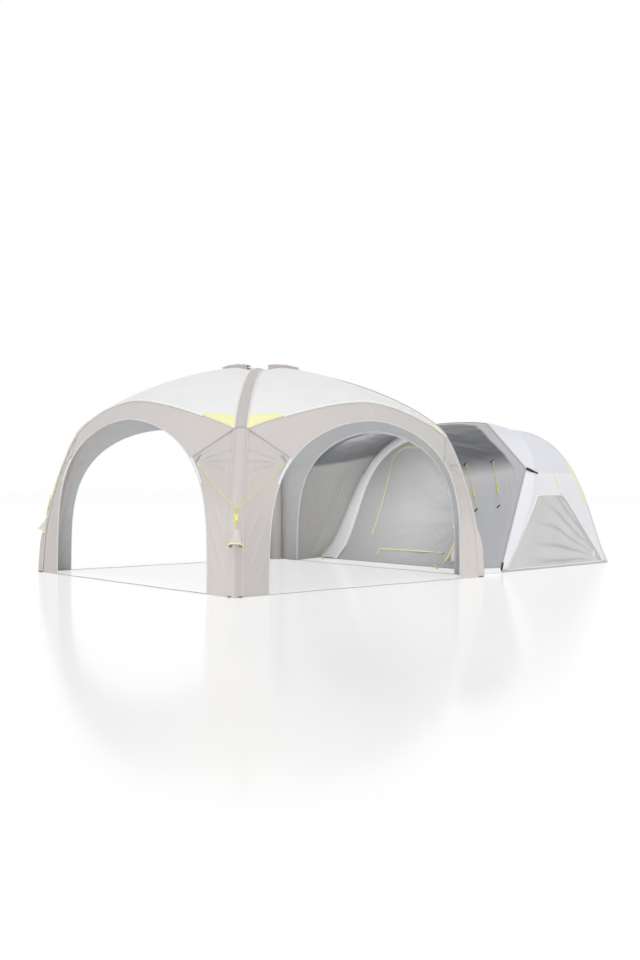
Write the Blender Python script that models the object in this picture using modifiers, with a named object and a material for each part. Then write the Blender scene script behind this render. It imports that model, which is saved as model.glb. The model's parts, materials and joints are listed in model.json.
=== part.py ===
"""Inflatable event shelter joined by a tunnel connector to an inflatable dome tent.

Metres, +Z up. +X runs from the shelter towards the tent, +Y is its left side.
Every sub-part is one named object. Moving ones hang from an empty on their joint's axis.
"""
from math import acos, asin, cos, inf, pi, radians, sin, sqrt

import bmesh
import bpy
from mathutils import Matrix, Vector

# Fabric and clearances
FABRIC = 0.006
GAP = 0.0005
SEAM_GAP = 0.0004

# Shelter: a square plan on four legs, with one arch in each side
SHELTER_WIDTH = 3.65
CROWN_HEIGHT = 2.387
ARCH_WIDTH = 2.81
ARCH_HEIGHT = 1.72
SEAM_HEIGHT = 1.92
SEAM_INSET = 0.10
SIDE_SEAM_HEIGHT = 1.30

# Shelter air beams and their sleeves
SLEEVE_RADIUS = 0.08
SLEEVE_WALL = 0.004
FOOT_RADIUS = 2.464
BEAM_CROWN_HEIGHT = 2.3295
FOOT_STUB = 0.04
WRAP_EASE = 0.0039
WRAP_SLACK = 0.006
FLANK_ANGLE = radians(48.3)
BEAM_PATH_SHARES = [
    (0.0, 1.0), (0.2224, 0.982), (0.431, 0.925), (0.619, 0.838), (0.757, 0.752),
    (0.843, 0.671), (0.902, 0.536), (0.948, 0.386), (0.983, 0.2145), (1.0, 0.0054)]
CORNER_STEP = 5
FOOT_STEP = 9
STEPS_PER_SPAN = 2
BEAM_SIDES = 8
SEAM_COLUMNS = 10

# Ground straps
STRAP_WIDTH = 0.025
STRAP_THICKNESS = 0.003
STRAP_REACH = 0.15

# Roof vents, one in each gore
VENT_INNER = 0.235
VENT_OUTER = 0.36
VENT_INNER_HALF = 0.085
VENT_OUTER_HALF = 0.19
HOOD_MARGIN = 0.035
HOOD_HALF_MARGIN = 0.045
HOOD_THICKNESS = 0.005
HOOD_LIFT = 0.05
PROP_RADIUS = 0.006
PROP_LENGTH = 0.055

# Corner gussets: darts over the corner seams, tallest on the ridge
GUSSET_RISE = 0.5
GUSSET_REACH_SHARE = 2 / 7
GUSSET_TIP_SHARE = 0.08
GUSSET_ARC_SHARE = 3 / 7

# Leg pockets and guy-lines
POCKET_TOP = 0.64
POCKET_MOUTH = 0.465
POCKET_PROUD = 0.10
POCKET_SPREAD = 0.66
CORD_DIAMETER = 0.006
STRAND_SPACING = 0.026
RUNNER_WIDTH = 0.046
RUNNER_DEPTH = 0.014
RUNNER_LENGTH = 0.06
RUNNER_BEVEL = 0.003
GUY_TOP_HEIGHT = 1.27
GUY_TOP_SHARE = 0.97
GUY_KNOT_HEIGHT = 0.835
GUY_TAIL_HEIGHT = 0.672
GUY_KNOT_PROUD = 0.0108
GUY_SAG = 0.012
RUNNER_HEIGHT = 0.745

# Tent: two arches that lean towards each other
TENT_FRONT_X = 2.413
TENT_REAR_X = 4.95
FRONT_HALF_WIDTH = 1.588
FRONT_HEIGHT = 1.885
FRONT_LEAN = 1.073
REAR_HALF_WIDTH = 1.453
REAR_HEIGHT = 1.81
REAR_LEAN = 0.935
REAR_BULGE = 0.05
TENT_BEAM_RADIUS = 0.065
BEAM_CLEARANCE = 0.0045
SHEET_MARGIN = 0.01
WALL_INSET = 0.008
TENT_COLUMNS = 24
WALL_FOOT_GAP = 0.0005
SLOPE_REACH = 0.01

# Connector tunnel
HEM_LIFT = 0.0075
TUNNEL_SAG = 0.035
HEM_APEX_SHARE = 0.62

# Door, zip and windows in the tent
DOOR_RIGHT = -0.60
DOOR_LEFT_LOW = 0.86
DOOR_LEFT_HIGH = 0.99
DOOR_BOTTOM = 0.14
DOOR_TOP = 1.56
DOOR_CORNER = 0.22
DOOR_GAP = 0.0008
DOOR_DEPTH = 0.3
HINGE_PROUD = 0.016
SLIDER_HEIGHT = 0.36
SLIDER_TRAVEL = 0.22
SLIDER_WIDTH = 0.016
SLIDER_DEPTH = 0.008
SLIDER_LENGTH = 0.04
SLIDER_PROUD = 0.0084
WINDOW_BOTTOM = 0.03
WINDOW_TOP = 0.93
WINDOW_GAP = 0.001
WINDOW_SHARES = [
    (0.03, 0.0), (0.96, 0.0), (0.95, 0.12), (0.90, 0.32),
    (0.60, 0.985), (0.56, 1.0), (0.12, 1.0), (0.095, 0.985)]

# Buckles and the connector's guy-lines, whose tops are at a way along it and a share round it
BUCKLE_WIDTH = 0.04
BUCKLE_DEPTH = 0.016
BUCKLE_LENGTH = 0.11
BUCKLE_SHARE = 0.237
BUCKLE_WAY = 0.945
BUCKLE_WAY_REACH = 0.04
BUCKLE_SHARE_REACH = 0.02
BUCKLE_SINK = 0.0014
SINGLE_RUNNER_WIDTH = 0.022
SINGLE_RUNNER_LENGTH = 0.075
LINE_PROUD = 0.05
LINE_BEND = 0.03
LINE_DROP = 0.55
LINE_RUNNER_DROP = 0.40
LINE_TOPS = {"front": (0.25, 0.285), "rear": (0.54, 0.283)}

# Inflation valve
VALVE_RADIUS = 0.024
VALVE_LENGTH = 0.022
VALVE_HEIGHT = 0.42
VALVE_CLEARANCE = 0.0025

# Shapes without a length
ARCH_SIDE_POWER = 1.11
ARCH_RISE_POWER = 0.517
FRONT_SIDE_POWER = 0.80
FRONT_RISE_POWER = 0.45
REAR_SIDE_POWER = 0.587
REAR_RISE_POWER = 0.516
FRONT_LEAN_POWER = 0.646
REAR_LEAN_POWER = 0.822
SEAM_POWER = 1.65
FEET_BUNCHING = 1.8
WALL_ROW_POWER = 1.6

HALF = SHELTER_WIDTH / 2
WRAP_RADIUS = SLEEVE_RADIUS + WRAP_EASE
FLANK_DEPTH = WRAP_RADIUS * cos(FLANK_ANGLE)
FLANK_SIDE = WRAP_RADIUS * sin(FLANK_ANGLE)
UP = Vector((0, 0, 1))

SIDES = {"front": pi, "right": -pi / 2, "rear": 0.0, "left": pi / 2}
CORNERS = {"front_right": -3 * pi / 4, "rear_right": -pi / 4, "rear_left": pi / 4, "front_left": 3 * pi / 4}
GUYED_CORNERS = ("front_right", "front_left")

COLOURS = {
    "roof": (0.88, 0.88, 0.87), "taupe": (0.66, 0.62, 0.59), "sleeve": (0.58, 0.55, 0.53),
    "beam": (0.75, 0.76, 0.78), "yellow": (0.92, 0.90, 0.30), "black": (0.03, 0.03, 0.035),
    "tunnel": (0.28, 0.30, 0.33), "fly": (0.88, 0.89, 0.92), "panel": (0.55, 0.55, 0.56),
    "window": (0.62, 0.63, 0.63), "webbing": (0.45, 0.45, 0.46), "sheet": (0.40, 0.41, 0.43)}


def clear_scene():
    for thing in list(bpy.data.objects):
        bpy.data.objects.remove(thing, do_unlink=True)


def new_collection(name):
    collection = bpy.data.collections.new(name)
    bpy.context.scene.collection.children.link(collection)
    return collection


def new_material(name, colour, roughness=0.8, metallic=0.0):
    material = bpy.data.materials.new(name)
    material.use_nodes = True
    shader = material.node_tree.nodes["Principled BSDF"]
    shader.inputs["Base Color"].default_value = (*colour, 1.0)
    shader.inputs["Roughness"].default_value = roughness
    shader.inputs["Metallic"].default_value = metallic
    return material


clear_scene()
PARTS = new_collection("inflatable_tent")
CUTTERS = new_collection("cutters")


def new_empty(name, location, parent):
    empty = bpy.data.objects.new(name, None)
    PARTS.objects.link(empty)
    empty.parent = parent
    empty.location = location
    return empty


ROOT = new_empty("tent_root", Vector((0, 0, 0)), None)


def add_part(name, data, colour, parent=ROOT, roughness=0.8, metallic=0.0):
    """Links one sub-part with its own material and hangs it on its parent."""
    part = bpy.data.objects.new(name, data)
    PARTS.objects.link(part)
    data.materials.append(new_material(name, COLOURS[colour], roughness, metallic))
    part.parent = parent
    if parent is not ROOT:
        part.matrix_parent_inverse = Matrix.Translation(-parent.location)
    return part


def smooth_point(points, step):
    """Catmull-Rom point through a list of vectors; step counts from the first one."""
    last = len(points) - 1
    i = min(int(step), last - 1)
    t = step - i
    b, c = points[i], points[i + 1]
    a = points[i - 1] if i > 0 else 2 * b - c
    d = points[i + 2] if i + 2 <= last else 2 * c - b
    return 0.5 * (2 * b + (c - a) * t + (2 * a - 5 * b + 4 * c - d) * t ** 2
                  + (3 * b - a - 3 * c + d) * t ** 3)


# Shelter geometry

BEAM_PATH = [Vector((r * FOOT_RADIUS, z * BEAM_CROWN_HEIGHT)) for r, z in BEAM_PATH_SHARES]
MIRRORED_PATH = [Vector((-BEAM_PATH[1].x, BEAM_PATH[1].y))] + BEAM_PATH


def beam_centre(step):
    """Radius and height of an air beam's centre line; step 0 is the crown."""
    return smooth_point(MIRRORED_PATH, step + 1)


def beam_normal(step):
    """Outward direction of the beam's path, in the upright plane through the crown."""
    small = 0.02
    along = beam_centre(min(step + small, FOOT_STEP)) - beam_centre(max(step - small, 0))
    along.normalize()
    return Vector((-along.y, along.x)) * (1 if along.x > 0 or along.y < 0 else -1)


def diagonal_frame(corner):
    outward = Vector((cos(corner), sin(corner), 0))
    return outward, Vector((-outward.y, outward.x, 0))


def on_diagonal(corner, radius, height, sideways=0.0):
    outward, across = diagonal_frame(corner)
    return outward * radius + across * sideways + UP * height


def flank(step, slack=0.0):
    """Local depth, half-width and height where the fabric meets the sleeve, seen from a side."""
    surface = beam_centre(step) + beam_normal(step) * (FLANK_DEPTH + slack * cos(FLANK_ANGLE))
    sideways = FLANK_SIDE + slack * sin(FLANK_ANGLE)
    return (surface.x + sideways) / sqrt(2), (surface.x - sideways) / sqrt(2), surface.y


CORNER_DEPTH, CORNER_HALF, CORNER_HEIGHT = flank(CORNER_STEP)


def gore_local(step, share):
    """Roof surface of one side: depth from the centre, place along the side, height."""
    depth, half, height = flank(step)
    reach = depth / CORNER_DEPTH
    middle_depth = depth + (HALF - SEAM_INSET - CORNER_DEPTH) * reach
    crown = BEAM_CROWN_HEIGHT + FLANK_DEPTH
    middle_height = crown - (crown - SEAM_HEIGHT) * reach ** 2
    return Vector((depth + (middle_depth - depth) * (1 - share ** 2), half * share,
                   height + (middle_height - height) * (1 - abs(share) ** SEAM_POWER)))


def arch_half_width(height):
    """Half the clear width of a shelter arch at a height."""
    rise = min(1.0, (max(height, 0.0) / ARCH_HEIGHT) ** (1 / ARCH_RISE_POWER))
    return ARCH_WIDTH / 2 * cos(asin(rise)) ** ARCH_SIDE_POWER


def arch_height(half_width):
    share = min(1.0, abs(half_width) / (ARCH_WIDTH / 2)) ** (1 / ARCH_SIDE_POWER)
    return ARCH_HEIGHT * sin(acos(share)) ** ARCH_RISE_POWER


SIDE_SEAM_HALF = arch_half_width(SIDE_SEAM_HEIGHT)


def side_matrix(side):
    return Matrix.Rotation(side, 3, 'Z')


def valance_local(share, drop):
    """Band between the roof seam and the arch's edge."""
    top = gore_local(CORNER_STEP, share)
    half = SIDE_SEAM_HALF * share
    height = arch_height(half)
    bottom = Vector((HALF, half, height))
    down = (bottom - top).normalized()
    point = (top + down * SEAM_GAP).lerp(bottom, drop)
    tilt = 0.6 * (1 - drop)
    return point, Vector((1, 0, tilt)).normalized()


def wing_edge(height):
    return Vector((HALF, arch_half_width(height), height))


def wrap_local(share, rise):
    """Leg wrap seen on its corner's diagonal: share -1 and 1 are the arch edges, 0 the corner."""
    step = FOOT_STEP + (CORNER_STEP - FOOT_STEP) * rise
    centre = beam_centre(step)
    arc_share = 0.6
    side = 1 if share > 0 else -1
    tilt = 0.6 * rise ** 6
    slack = WRAP_SLACK * (1 - rise ** 4)
    radius = WRAP_RADIUS + slack
    flank_depth, flank_half, flank_height = flank(step, slack)
    level = flank_height - flank(FOOT_STEP, WRAP_SLACK)[2] * (1 - rise) ** 4
    if abs(share) <= arc_share:
        angle = FLANK_ANGLE * share / arc_share
        normal = beam_normal(step)
        surface = centre + normal * radius * cos(angle)
        point = Vector((surface.x, radius * sin(angle), 0))
        point.z = level + (surface.y - flank_height) * rise
        direction = Vector((cos(angle), sin(angle), tilt))
        return point, direction.normalized()
    way = (abs(share) - arc_share) / (1 - arc_share)
    inner = Vector((flank_depth, flank_half, level))
    outer = wing_edge(SIDE_SEAM_HEIGHT * level / CORNER_HEIGHT)
    local = inner.lerp(outer, way)
    point = Vector(((local.x + local.y) / sqrt(2), side * (local.x - local.y) / sqrt(2), local.z))
    direction = Vector((1, side, 0)) / sqrt(2) + UP * tilt * (1 - way)
    return point, direction.normalized()


# Mesh makers

def sheet(name, colour, columns, rows, place, thickness=FABRIC, parent=ROOT, roughness=0.85):
    """Closed fabric panel: a grid, thickened along the direction that place() gives."""
    bm = bmesh.new()
    bmesh.ops.create_grid(bm, x_segments=columns, y_segments=rows, size=0.5)
    copy = bmesh.ops.extrude_face_region(bm, geom=bm.faces[:])
    outer = {item for item in copy["geom"] if isinstance(item, bmesh.types.BMVert)}
    for vert in bm.verts:
        point, direction = place(vert.co.x + 0.5, vert.co.y + 0.5)
        vert.co = point + direction * thickness * (0.5 if vert in outer else -0.5)
    bmesh.ops.remove_doubles(bm, verts=bm.verts[:], dist=GAP / 10)
    bmesh.ops.recalc_face_normals(bm, faces=bm.faces[:])
    mesh = bpy.data.meshes.new(name)
    bm.to_mesh(mesh)
    bm.free()
    return add_part(name, mesh, colour, parent, roughness)


def curve_tube(name, colour, points, radius, sides, capped=True, parent=ROOT):
    """Tube along a list of points; sides is even, from eight to twelve."""
    curve = bpy.data.curves.new(name, 'CURVE')
    curve.dimensions = '3D'
    curve.bevel_depth = radius
    curve.bevel_resolution = sides // 2 - 2
    curve.use_fill_caps = capped
    curve.resolution_u = 1
    curve.render_resolution_u = 0
    spline = curve.splines.new('POLY')
    spline.points.add(len(points) - 1)
    for target, point in zip(spline.points, points):
        target.co = (*point, 1)
    return add_part(name, curve, colour, parent)


def box_mesh(name, size, bevel, turn=Matrix.Identity(4)):
    bm = bmesh.new()
    bmesh.ops.create_cube(bm, size=1)
    bmesh.ops.scale(bm, vec=size, verts=bm.verts[:])
    if bevel:
        bmesh.ops.bevel(bm, geom=bm.edges[:], offset=bevel, segments=1, affect='EDGES', profile=0.5)
    bmesh.ops.transform(bm, matrix=turn, verts=bm.verts[:])
    mesh = bpy.data.meshes.new(name)
    bm.to_mesh(mesh)
    bm.free()
    return mesh


def add_cutter(name, mesh):
    cutter = bpy.data.objects.new(name, mesh)
    CUTTERS.objects.link(cutter)
    cutter.parent = ROOT
    cutter.hide_render = True
    cutter.display_type = 'WIRE'
    return cutter


def cut(part, cutter, operation='DIFFERENCE'):
    modifier = part.modifiers.new(cutter.name, 'BOOLEAN')
    modifier.operation = operation
    modifier.solver = 'EXACT'
    modifier.object = cutter


def prism(name, outline, plane_x, plane_y, start, end):
    """Cutter: an outline of (a, b) pairs on two axes, drawn out between two places."""
    bm = bmesh.new()
    base = [bm.verts.new(plane_x * a + plane_y * b + start) for a, b in outline]
    face = bm.faces.new(base)
    copy = bmesh.ops.extrude_face_region(bm, geom=[face])
    moved = [item for item in copy["geom"] if isinstance(item, bmesh.types.BMVert)]
    bmesh.ops.translate(bm, vec=end - start, verts=moved)
    bmesh.ops.recalc_face_normals(bm, faces=bm.faces[:])
    mesh = bpy.data.meshes.new(name)
    bm.to_mesh(mesh)
    bm.free()
    return add_cutter(name, mesh)


def shrink(outline, amount):
    """Moves each side of a convex outline inward by an amount."""
    centre = sum((Vector(p) for p in outline), Vector((0, 0))) / len(outline)
    moved = []
    count = len(outline)
    for i in range(count):
        before, here, after = (Vector(outline[(i + k) % count]) for k in (-1, 0, 1))
        first = (here - before).normalized()
        second = (after - here).normalized()
        inward = Vector((-(first.y + second.y), first.x + second.x)).normalized()
        if inward.dot(centre - here) < 0:
            inward = -inward
        half_turn = sqrt(max((1 + first.dot(second)) / 2, 0.1))
        moved.append(here + inward * amount / half_turn)
    return [tuple(p) for p in moved]


# Shelter parts

def leg_path(corner, first):
    """Centre line of a beam from its first step down to an upright foot."""
    count = FOOT_STEP * STEPS_PER_SPAN
    steps = [first] + [i / STEPS_PER_SPAN for i in range(count) if i / STEPS_PER_SPAN > first]
    path = [on_diagonal(corner, *beam_centre(step)) for step in steps]
    return path + [on_diagonal(corner, FOOT_RADIUS, FOOT_STUB), on_diagonal(corner, FOOT_RADIUS, 0)]


def make_beams():
    """Air beams in their sleeves: one right across, and a branch on each side of it."""
    across = leg_path(CORNERS["front_right"], 0)[:0:-1] + leg_path(CORNERS["rear_left"], 0)
    clear = (SLEEVE_RADIUS + 2 * GAP) / BEAM_PATH[1].x
    left = leg_path(CORNERS["front_left"], clear)
    right = leg_path(CORNERS["rear_right"], clear)
    for name, path in (("diagonal", across), ("left", left), ("right", right)):
        inner = [point.copy() for point in path]
        inner[-1].z += GAP
        if name == "diagonal":
            inner[0].z += GAP
        curve_tube("air_beam_" + name, "beam", inner, SLEEVE_RADIUS - SLEEVE_WALL - 2 * GAP, BEAM_SIDES)
        sleeve = curve_tube("beam_sleeve_" + name, "sleeve", path, SLEEVE_RADIUS, BEAM_SIDES, capped=False)
        solidify = sleeve.modifiers.new("wall", 'SOLIDIFY')
        solidify.thickness = SLEEVE_WALL
        solidify.offset = -1
        solidify.use_rim = True


def make_roof(side_name, side):
    turn = side_matrix(side)
    first_step = 0.19
    rows = CORNER_STEP * STEPS_PER_SPAN
    along = turn @ Vector((1, 0, 0))
    sideways = turn @ Vector((0, 1, 0))

    def place(u, v):
        step = max(first_step, CORNER_STEP * v)
        share = 2 * u - 1
        point = gore_local(step, share)
        lean = 0.25 + 0.35 * v
        blend = v ** 4
        direction = Vector((lean, 0, 1 - lean / 2)).lerp(Vector((1, 0, 0.6)), blend)
        return turn @ point, turn @ direction.normalized()

    gore = sheet("roof_gore_" + side_name, "roof", SEAM_COLUMNS, rows, place)
    outline = [(VENT_INNER, -VENT_INNER_HALF), (VENT_OUTER, -VENT_OUTER_HALF),
               (VENT_OUTER, VENT_OUTER_HALF), (VENT_INNER, VENT_INNER_HALF)]
    cutter = prism("vent_cutter_" + side_name, outline, along, sideways,
                   UP * SEAM_HEIGHT, UP * (CROWN_HEIGHT + HOOD_LIFT))
    cut(gore, cutter)


def roof_height(depth, half):
    """Height of the gore above a place near its middle line."""
    low, high = 0.0, float(CORNER_STEP)
    for _ in range(40):
        step = (low + high) / 2
        share = min(1.0, half / max(flank(step)[1], GAP))
        if gore_local(step, share).x < depth:
            low = step
        else:
            high = step
    return gore_local(low, share).z


def make_vent_hood(side_name, side):
    """Hood over a roof vent, propped open; it turns about its edge near the crown."""
    turn = side_matrix(side)
    inner = VENT_INNER - HOOD_MARGIN
    outer = VENT_OUTER + HOOD_MARGIN
    inner_half = VENT_INNER_HALF - HOOD_HALF_MARGIN / 2
    outer_half = VENT_OUTER_HALF + HOOD_HALF_MARGIN
    hinge_height = roof_height(inner, 0) + FABRIC / 2 + HOOD_THICKNESS / 2
    hinge = new_empty("vent_hinge_" + side_name, turn @ Vector((inner, 0, hinge_height)), ROOT)
    rim_height = roof_height(outer, outer_half) + FABRIC / 2 + HOOD_LIFT
    drop_shape = 0.35

    def place(u, v):
        depth = inner + (outer - inner) * v
        half = inner_half + (outer_half - inner_half) * v
        share = 2 * u - 1
        height = hinge_height + (rim_height - hinge_height) * v
        crest = (HOOD_LIFT * drop_shape) * (1 - share ** 2) * v
        return turn @ Vector((depth, half * share, height + crest)), UP

    hood = sheet("vent_hood_" + side_name, "roof", 6, 3, place, HOOD_THICKNESS, hinge)
    prop_depth = (VENT_INNER + 2 * VENT_OUTER) / 3
    way = (prop_depth - inner) / (outer - inner)
    prop_top = hinge_height + (rim_height - hinge_height) * way + HOOD_LIFT * drop_shape * way
    place_prop = Matrix.Translation(turn @ Vector((prop_depth, 0, prop_top - PROP_LENGTH / 2)))
    cut(hood, cylinder_cutter("vent_prop_" + side_name, PROP_RADIUS, PROP_LENGTH, place_prop, 8), 'UNION')


def make_valance(side_name, side):
    turn = side_matrix(side)
    trim = 1 - 2 * SEAM_GAP / CORNER_HALF

    def place(u, v):
        point, direction = valance_local((2 * u - 1) * trim, v)
        return turn @ point, turn @ direction

    sheet("arch_valance_" + side_name, "taupe", SEAM_COLUMNS, 3, place)


def make_wrap(corner_name, corner):
    turn = Matrix.Rotation(corner, 3, 'Z')
    trim = 1 - 2 * SEAM_GAP / CORNER_HEIGHT

    def place(u, v):
        point, direction = wrap_local(2 * u - 1, v * trim)
        return turn @ point, turn @ direction

    sheet("leg_wrap_" + corner_name, "taupe", 10, 8, place)


def wrap_rise(height):
    """Rise along the leg at which its centre line reaches a height."""
    low, high = 0.0, 1.0
    for _ in range(40):
        middle = (low + high) / 2
        if wrap_local(0, middle)[0].z < height:
            low = middle
        else:
            high = middle
    return low


def make_pocket(corner_name, corner):
    """Hooded pocket on the leg's corner, open at its lower end."""
    turn = Matrix.Rotation(corner, 3, 'Z')
    top, mouth = wrap_rise(POCKET_TOP), wrap_rise(POCKET_MOUTH)

    def place(u, v):
        share = (2 * u - 1) * POCKET_SPREAD
        across = 2 * u - 1
        point, direction = wrap_local(share * (0.45 + 0.55 * v), top + (mouth - top) * v)
        proud = POCKET_PROUD * v ** 1.4 * (1 - across ** 2)
        flat = Vector((direction.x, direction.y, 0)).normalized()
        return turn @ (point + flat * (FABRIC + GAP + proud)), turn @ flat

    sheet("leg_pocket_" + corner_name, "taupe", 6, 3, place)


def leg_guyline_route(corner):
    """One cord: down from the left wing, round the tail loop, and up to the right wing."""
    outward, across = diagonal_frame(corner)
    low, high = 0.0, 1.0
    for _ in range(40):
        middle = (low + high) / 2
        if wrap_local(GUY_TOP_SHARE, middle)[0].z < GUY_TOP_HEIGHT:
            low = middle
        else:
            high = middle
    top, top_direction = wrap_local(GUY_TOP_SHARE, low)
    top += top_direction * (FABRIC / 2 + CORD_DIAMETER / 2 + GAP)
    knot_rise = wrap_rise(GUY_KNOT_HEIGHT)
    knot_radius = wrap_local(0, knot_rise)[0].x + FABRIC / 2 + GUY_KNOT_PROUD
    tail_radius = wrap_local(0, wrap_rise(GUY_TAIL_HEIGHT))[0].x + FABRIC / 2 + GUY_KNOT_PROUD
    strand = STRAND_SPACING / 2
    half_route = []
    knot = Vector((knot_radius, strand, GUY_KNOT_HEIGHT))
    for share in (0.0, 0.3, 0.6, 0.9):
        point = top.lerp(knot, share)
        point.z -= GUY_SAG * 4 * share * (1 - share)
        half_route.append(point)
    half_route.append(knot + Vector((0, strand * 0.12, -strand * 0.4)))
    for share in (0.15, 0.6):
        point = knot.lerp(Vector((tail_radius, strand, GUY_TAIL_HEIGHT)), share)
        half_route.append(point)
    for angle in (0.0, 30.0, 60.0):
        turn = radians(angle)
        half_route.append(Vector((tail_radius, strand * cos(turn), GUY_TAIL_HEIGHT - strand * sin(turn))))
    bottom = Vector((tail_radius, 0, GUY_TAIL_HEIGHT - strand))
    mirrored = [Vector((p.x, -p.y, p.z)) for p in reversed(half_route)]
    local = half_route + [bottom] + mirrored
    return [outward * p.x + across * p.y + UP * p.z for p in local]


def make_leg_guyline(corner_name, corner):
    route = leg_guyline_route(corner)
    curve_tube("leg_guyline_" + corner_name, "yellow", route, CORD_DIAMETER / 2, 8)


def cylinder_cutter(name, radius, length, matrix, sides):
    bm = bmesh.new()
    bmesh.ops.create_cone(bm, cap_ends=True, segments=sides, radius1=radius, radius2=radius, depth=length)
    bmesh.ops.transform(bm, matrix=matrix, verts=bm.verts[:])
    mesh = bpy.data.meshes.new(name)
    bm.to_mesh(mesh)
    bm.free()
    return add_cutter(name, mesh)


def make_runner(name, place, down, across, strands, width, length):
    """Guy-line runner: a flat block with one bore for each strand, sliding along the cord."""
    out = across.cross(down).normalized()
    turn = Matrix((across, out, -down)).transposed().to_4x4()
    slide = new_empty(name + "_slide", place, ROOT)
    mesh = box_mesh(name, (width, RUNNER_DEPTH, length), RUNNER_BEVEL, Matrix.Translation(place) @ turn)
    runner = add_part(name, mesh, "yellow", slide, roughness=0.4)
    for i, offset in enumerate(strands):
        matrix = Matrix.Translation(place + across * offset) @ turn @ Matrix.Rotation(radians(11), 4, 'Z')
        cutter = cylinder_cutter(f"{name}_bore_{i}", CORD_DIAMETER / 2 + 2 * GAP, 2 * length, matrix, 10)
        cut(runner, cutter)
    return runner


def make_leg_runner(corner_name, corner):
    outward, across = diagonal_frame(corner)
    knot_radius = wrap_local(0, wrap_rise(GUY_KNOT_HEIGHT))[0].x
    tail_radius = wrap_local(0, wrap_rise(GUY_TAIL_HEIGHT))[0].x
    fall = GUY_KNOT_HEIGHT - GUY_TAIL_HEIGHT
    down = (outward * (tail_radius - knot_radius) - UP * fall).normalized()
    way = (GUY_KNOT_HEIGHT - RUNNER_HEIGHT) / fall
    radius = knot_radius + (tail_radius - knot_radius) * way + FABRIC / 2 + GUY_KNOT_PROUD
    place = outward * radius + UP * RUNNER_HEIGHT
    strand = STRAND_SPACING / 2
    make_runner("leg_runner_" + corner_name, place, down, across, (-strand, strand), RUNNER_WIDTH,
                RUNNER_LENGTH)


def make_gusset(corner_name, corner):
    """Dart of bright fabric over the ends of the two roof seams that meet at a corner."""
    outward, across = diagonal_frame(corner)
    cover = FABRIC + 3 * GAP

    def place(u, v):
        w = 2 * u - 1
        side = 1 if w > 0 else -1
        out = max(0.0, (abs(w) - GUSSET_ARC_SHARE) / (1 - GUSSET_ARC_SHARE))
        step = CORNER_STEP - GUSSET_RISE * v * (1 - out * (1 - GUSSET_TIP_SHARE))
        centre, normal = beam_centre(step), beam_normal(step)
        angle = FLANK_ANGLE * min(1.0, abs(w) / GUSSET_ARC_SHARE) * side
        upward = outward * normal.x + UP * normal.y
        radial = upward * cos(angle) + across * sin(angle)
        if out == 0:
            return on_diagonal(corner, *centre) + radial * (WRAP_RADIUS + cover), radial
        turn = side_matrix(corner + side * pi / 4)
        local = gore_local(step, -side * (1 - GUSSET_REACH_SHARE * out))
        flat = turn @ Vector((1, 0, 1)).normalized()
        direction = radial.lerp(flat, min(1.0, 3 * out)).normalized()
        return turn @ local + direction * cover, direction

    sheet("corner_gusset_" + corner_name, "yellow", 14, 1, place)


def make_ground_strap(side_name, side):
    """Webbing along the ground between two legs, just inside the arch's plane."""
    turn = side_matrix(side)
    strap_line = HALF - FABRIC / 2 - GAP - STRAP_WIDTH / 2
    half_length = ARCH_WIDTH / 2 + STRAP_REACH
    size = (STRAP_WIDTH, 2 * half_length, STRAP_THICKNESS)
    matrix = turn.to_4x4() @ Matrix.Translation((strap_line, 0, STRAP_THICKNESS / 2))
    mesh = box_mesh("ground_strap_" + side_name, size, 0, matrix)
    add_part("ground_strap_" + side_name, mesh, "webbing")


def make_valve():
    """Inflation valve on the inner side of the front right leg."""
    corner = CORNERS["front_right"]
    outward, across = diagonal_frame(corner)
    low, high = float(CORNER_STEP), float(FOOT_STEP)
    for _ in range(40):
        middle = (low + high) / 2
        if beam_centre(middle).y > VALVE_HEIGHT:
            low = middle
        else:
            high = middle
    centre = beam_centre(low)
    inward = -beam_normal(low)
    axis = outward * inward.x + UP * inward.y
    seat = SLEEVE_RADIUS + VALVE_CLEARANCE + VALVE_LENGTH / 2
    place = outward * centre.x + UP * centre.y + axis * seat
    bm = bmesh.new()
    bmesh.ops.create_cone(bm, cap_ends=True, segments=20, radius1=VALVE_RADIUS, radius2=VALVE_RADIUS * 0.85,
                          depth=VALVE_LENGTH)
    turn = UP.rotation_difference(axis).to_matrix().to_4x4()
    bmesh.ops.transform(bm, matrix=Matrix.Translation(place) @ turn, verts=bm.verts[:])
    mesh = bpy.data.meshes.new("inflation_valve")
    bm.to_mesh(mesh)
    bm.free()
    add_part("inflation_valve", mesh, "black", roughness=0.45)


# Tent geometry

def arch_angle(share):
    """Angle round an arch; share 0 is the right foot, 1 the left foot. Points bunch at the feet."""
    near_foot = 1 - abs(2 * share - 1)
    return pi / 2 * near_foot ** FEET_BUNCHING


def arch_yz(share, half_width, height, side_power, rise_power):
    angle = arch_angle(share)
    side = -1 if share < 0.5 else 1
    return Vector((0, side * half_width * cos(angle) ** side_power, height * sin(angle) ** rise_power))


def arch_normal(share, curve):
    """Outward normal of an arch in its upright plane, level at the feet."""
    small = 0.004
    low, high = max(share - small, 0), min(share + small, 1)
    if share < small or share > 1 - small:
        return Vector((0, -1 if share < 0.5 else 1, 0))
    along = curve(high) - curve(low)
    normal = Vector((0, -along.z, along.y))
    if normal.z < 0:
        normal = -normal
    return normal.normalized()


def front_arch(share):
    return arch_yz(share, FRONT_HALF_WIDTH, FRONT_HEIGHT, FRONT_SIDE_POWER, FRONT_RISE_POWER)


def rear_arch(share):
    return arch_yz(share, REAR_HALF_WIDTH, REAR_HEIGHT, REAR_SIDE_POWER, REAR_RISE_POWER)


def shelter_arch(share):
    return arch_yz(share, ARCH_WIDTH / 2, ARCH_HEIGHT, ARCH_SIDE_POWER, ARCH_RISE_POWER)


def front_x(height):
    return TENT_FRONT_X + FRONT_LEAN * (max(height, 0) / FRONT_HEIGHT) ** FRONT_LEAN_POWER


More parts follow.
